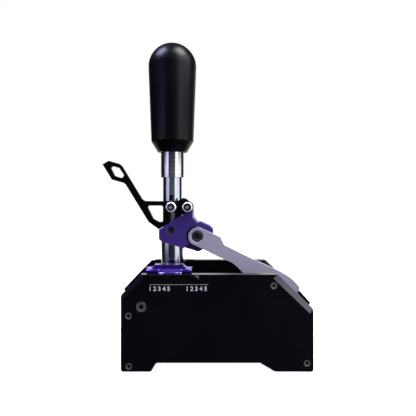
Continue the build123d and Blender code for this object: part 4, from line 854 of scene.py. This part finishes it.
floor.data.materials.append(floorPaint)

worldShades = {"dark": (0.02, 0.02, 0.024), "seen": (1, 1, 1)}
world = bpy.data.worlds.new("studio")
bpy.context.scene.world = world
world.use_nodes = True
cameraRay, colour = cameraMix(world.node_tree, worldShades["dark"], worldShades["seen"])
world.node_tree.links.new(colour, world.node_tree.nodes["Background"].inputs["Color"])

softboxes = {  # sizes and places in metres, power in watts
    "rightLow": {"wide": 0.72, "high": 0.235, "power": 1.2, "place": (0.45, -0.22, 0.1175), "target": (0, 0, 0.1175)},
    "rightMid": {"wide": 0.72, "high": 0.19, "power": 0.2, "place": (0.45, -0.22, 0.33), "target": (0, 0, 0.33)},
    "rightTop": {"wide": 0.72, "high": 0.35, "power": 3.6, "place": (0.45, -0.22, 0.6), "target": (0, 0, 0.25),
                 "colour": (0.86, 0.86, 1.0)},
    "leftCard": {"wide": 0.62, "high": 0.24, "power": 0.66, "place": (-0.7, -0.455, 0.135), "target": (0, 0, 0.135),
                 "colour": (0.88, 0.9, 1.0)},
    "rightBevel": {"wide": 0.3, "high": 0.26, "power": 0.7, "place": (0.6, -0.59, 0.34), "target": (0.06, -0.05, 0.07),
                   "colour": (0.66, 0.66, 1.0)},
    "leftBevel": {"wide": 0.3, "high": 0.26, "power": 0.62, "place": (-0.64, -0.6, 0.34),
                  "target": (-0.07, -0.05, 0.07), "colour": (0.34, 0.34, 1.0)},
    "topRight": {"wide": 0.5, "high": 0.5, "power": 16.0, "place": (0.375, -0.15, 1.09), "target": (0, 0, 0.2)},
    "topLeft": {"wide": 0.45, "high": 0.45, "power": 16.0, "place": (-0.55, -0.09, 1.04), "target": (0, 0, 0.2),
                "colour": (0.6, 0.65, 1.0)},
    "frontFill": {"wide": 1.6, "high": 0.35, "power": 0.35, "place": (0.1, -1.5, 0.1), "target": (0, 0, 0.1)},
    "backCard": {"wide": 1.6, "high": 0.7, "power": 3.4, "place": (0.05, 1.2, 0.35), "target": (0, 0, 0.1)},
    "backFloor": {"wide": 1.2, "high": 0.8, "power": 4.0, "place": (0.05, 0.7, 0.003), "target": (0.05, 0.7, 1.0)},
}
for name, sizes in softboxes.items():
    light = bpy.data.lights.new(name, "AREA")
    light.shape = "RECTANGLE"
    light.size, light.size_y = sizes["wide"], sizes["high"]
    light.energy = sizes["power"]
    light.color = sizes.get("colour", (1, 1, 1))
    lamp = bpy.data.objects.new(name, light)
    bpy.context.scene.collection.objects.link(lamp)
    lamp.location = sizes["place"]
    toTarget = Vector(sizes["target"]) - Vector(sizes["place"])
    lamp.rotation_euler = toTarget.to_track_quat("-Z", "Y").to_euler()
    lamp.visible_camera = False

cameraSizes = {"lens": 38.94, "sensor": 36, "place": (-0.00195, -0.45, 0.1564), "shiftX": -7 / 416, "shiftY": -12 / 416}
cameraData = bpy.data.cameras.new("photoCamera")
cameraData.lens = cameraSizes["lens"]
cameraData.sensor_width = cameraSizes["sensor"]
cameraData.shift_x, cameraData.shift_y = cameraSizes["shiftX"], cameraSizes["shiftY"]
camera = bpy.data.objects.new("photoCamera", cameraData)
bpy.context.scene.collection.objects.link(camera)
camera.location = cameraSizes["place"]
camera.rotation_euler = (quarterTurn, 0, 0)
bpy.context.scene.camera = camera
bpy.context.scene.view_settings.view_transform = "Standard"
print("studio set")
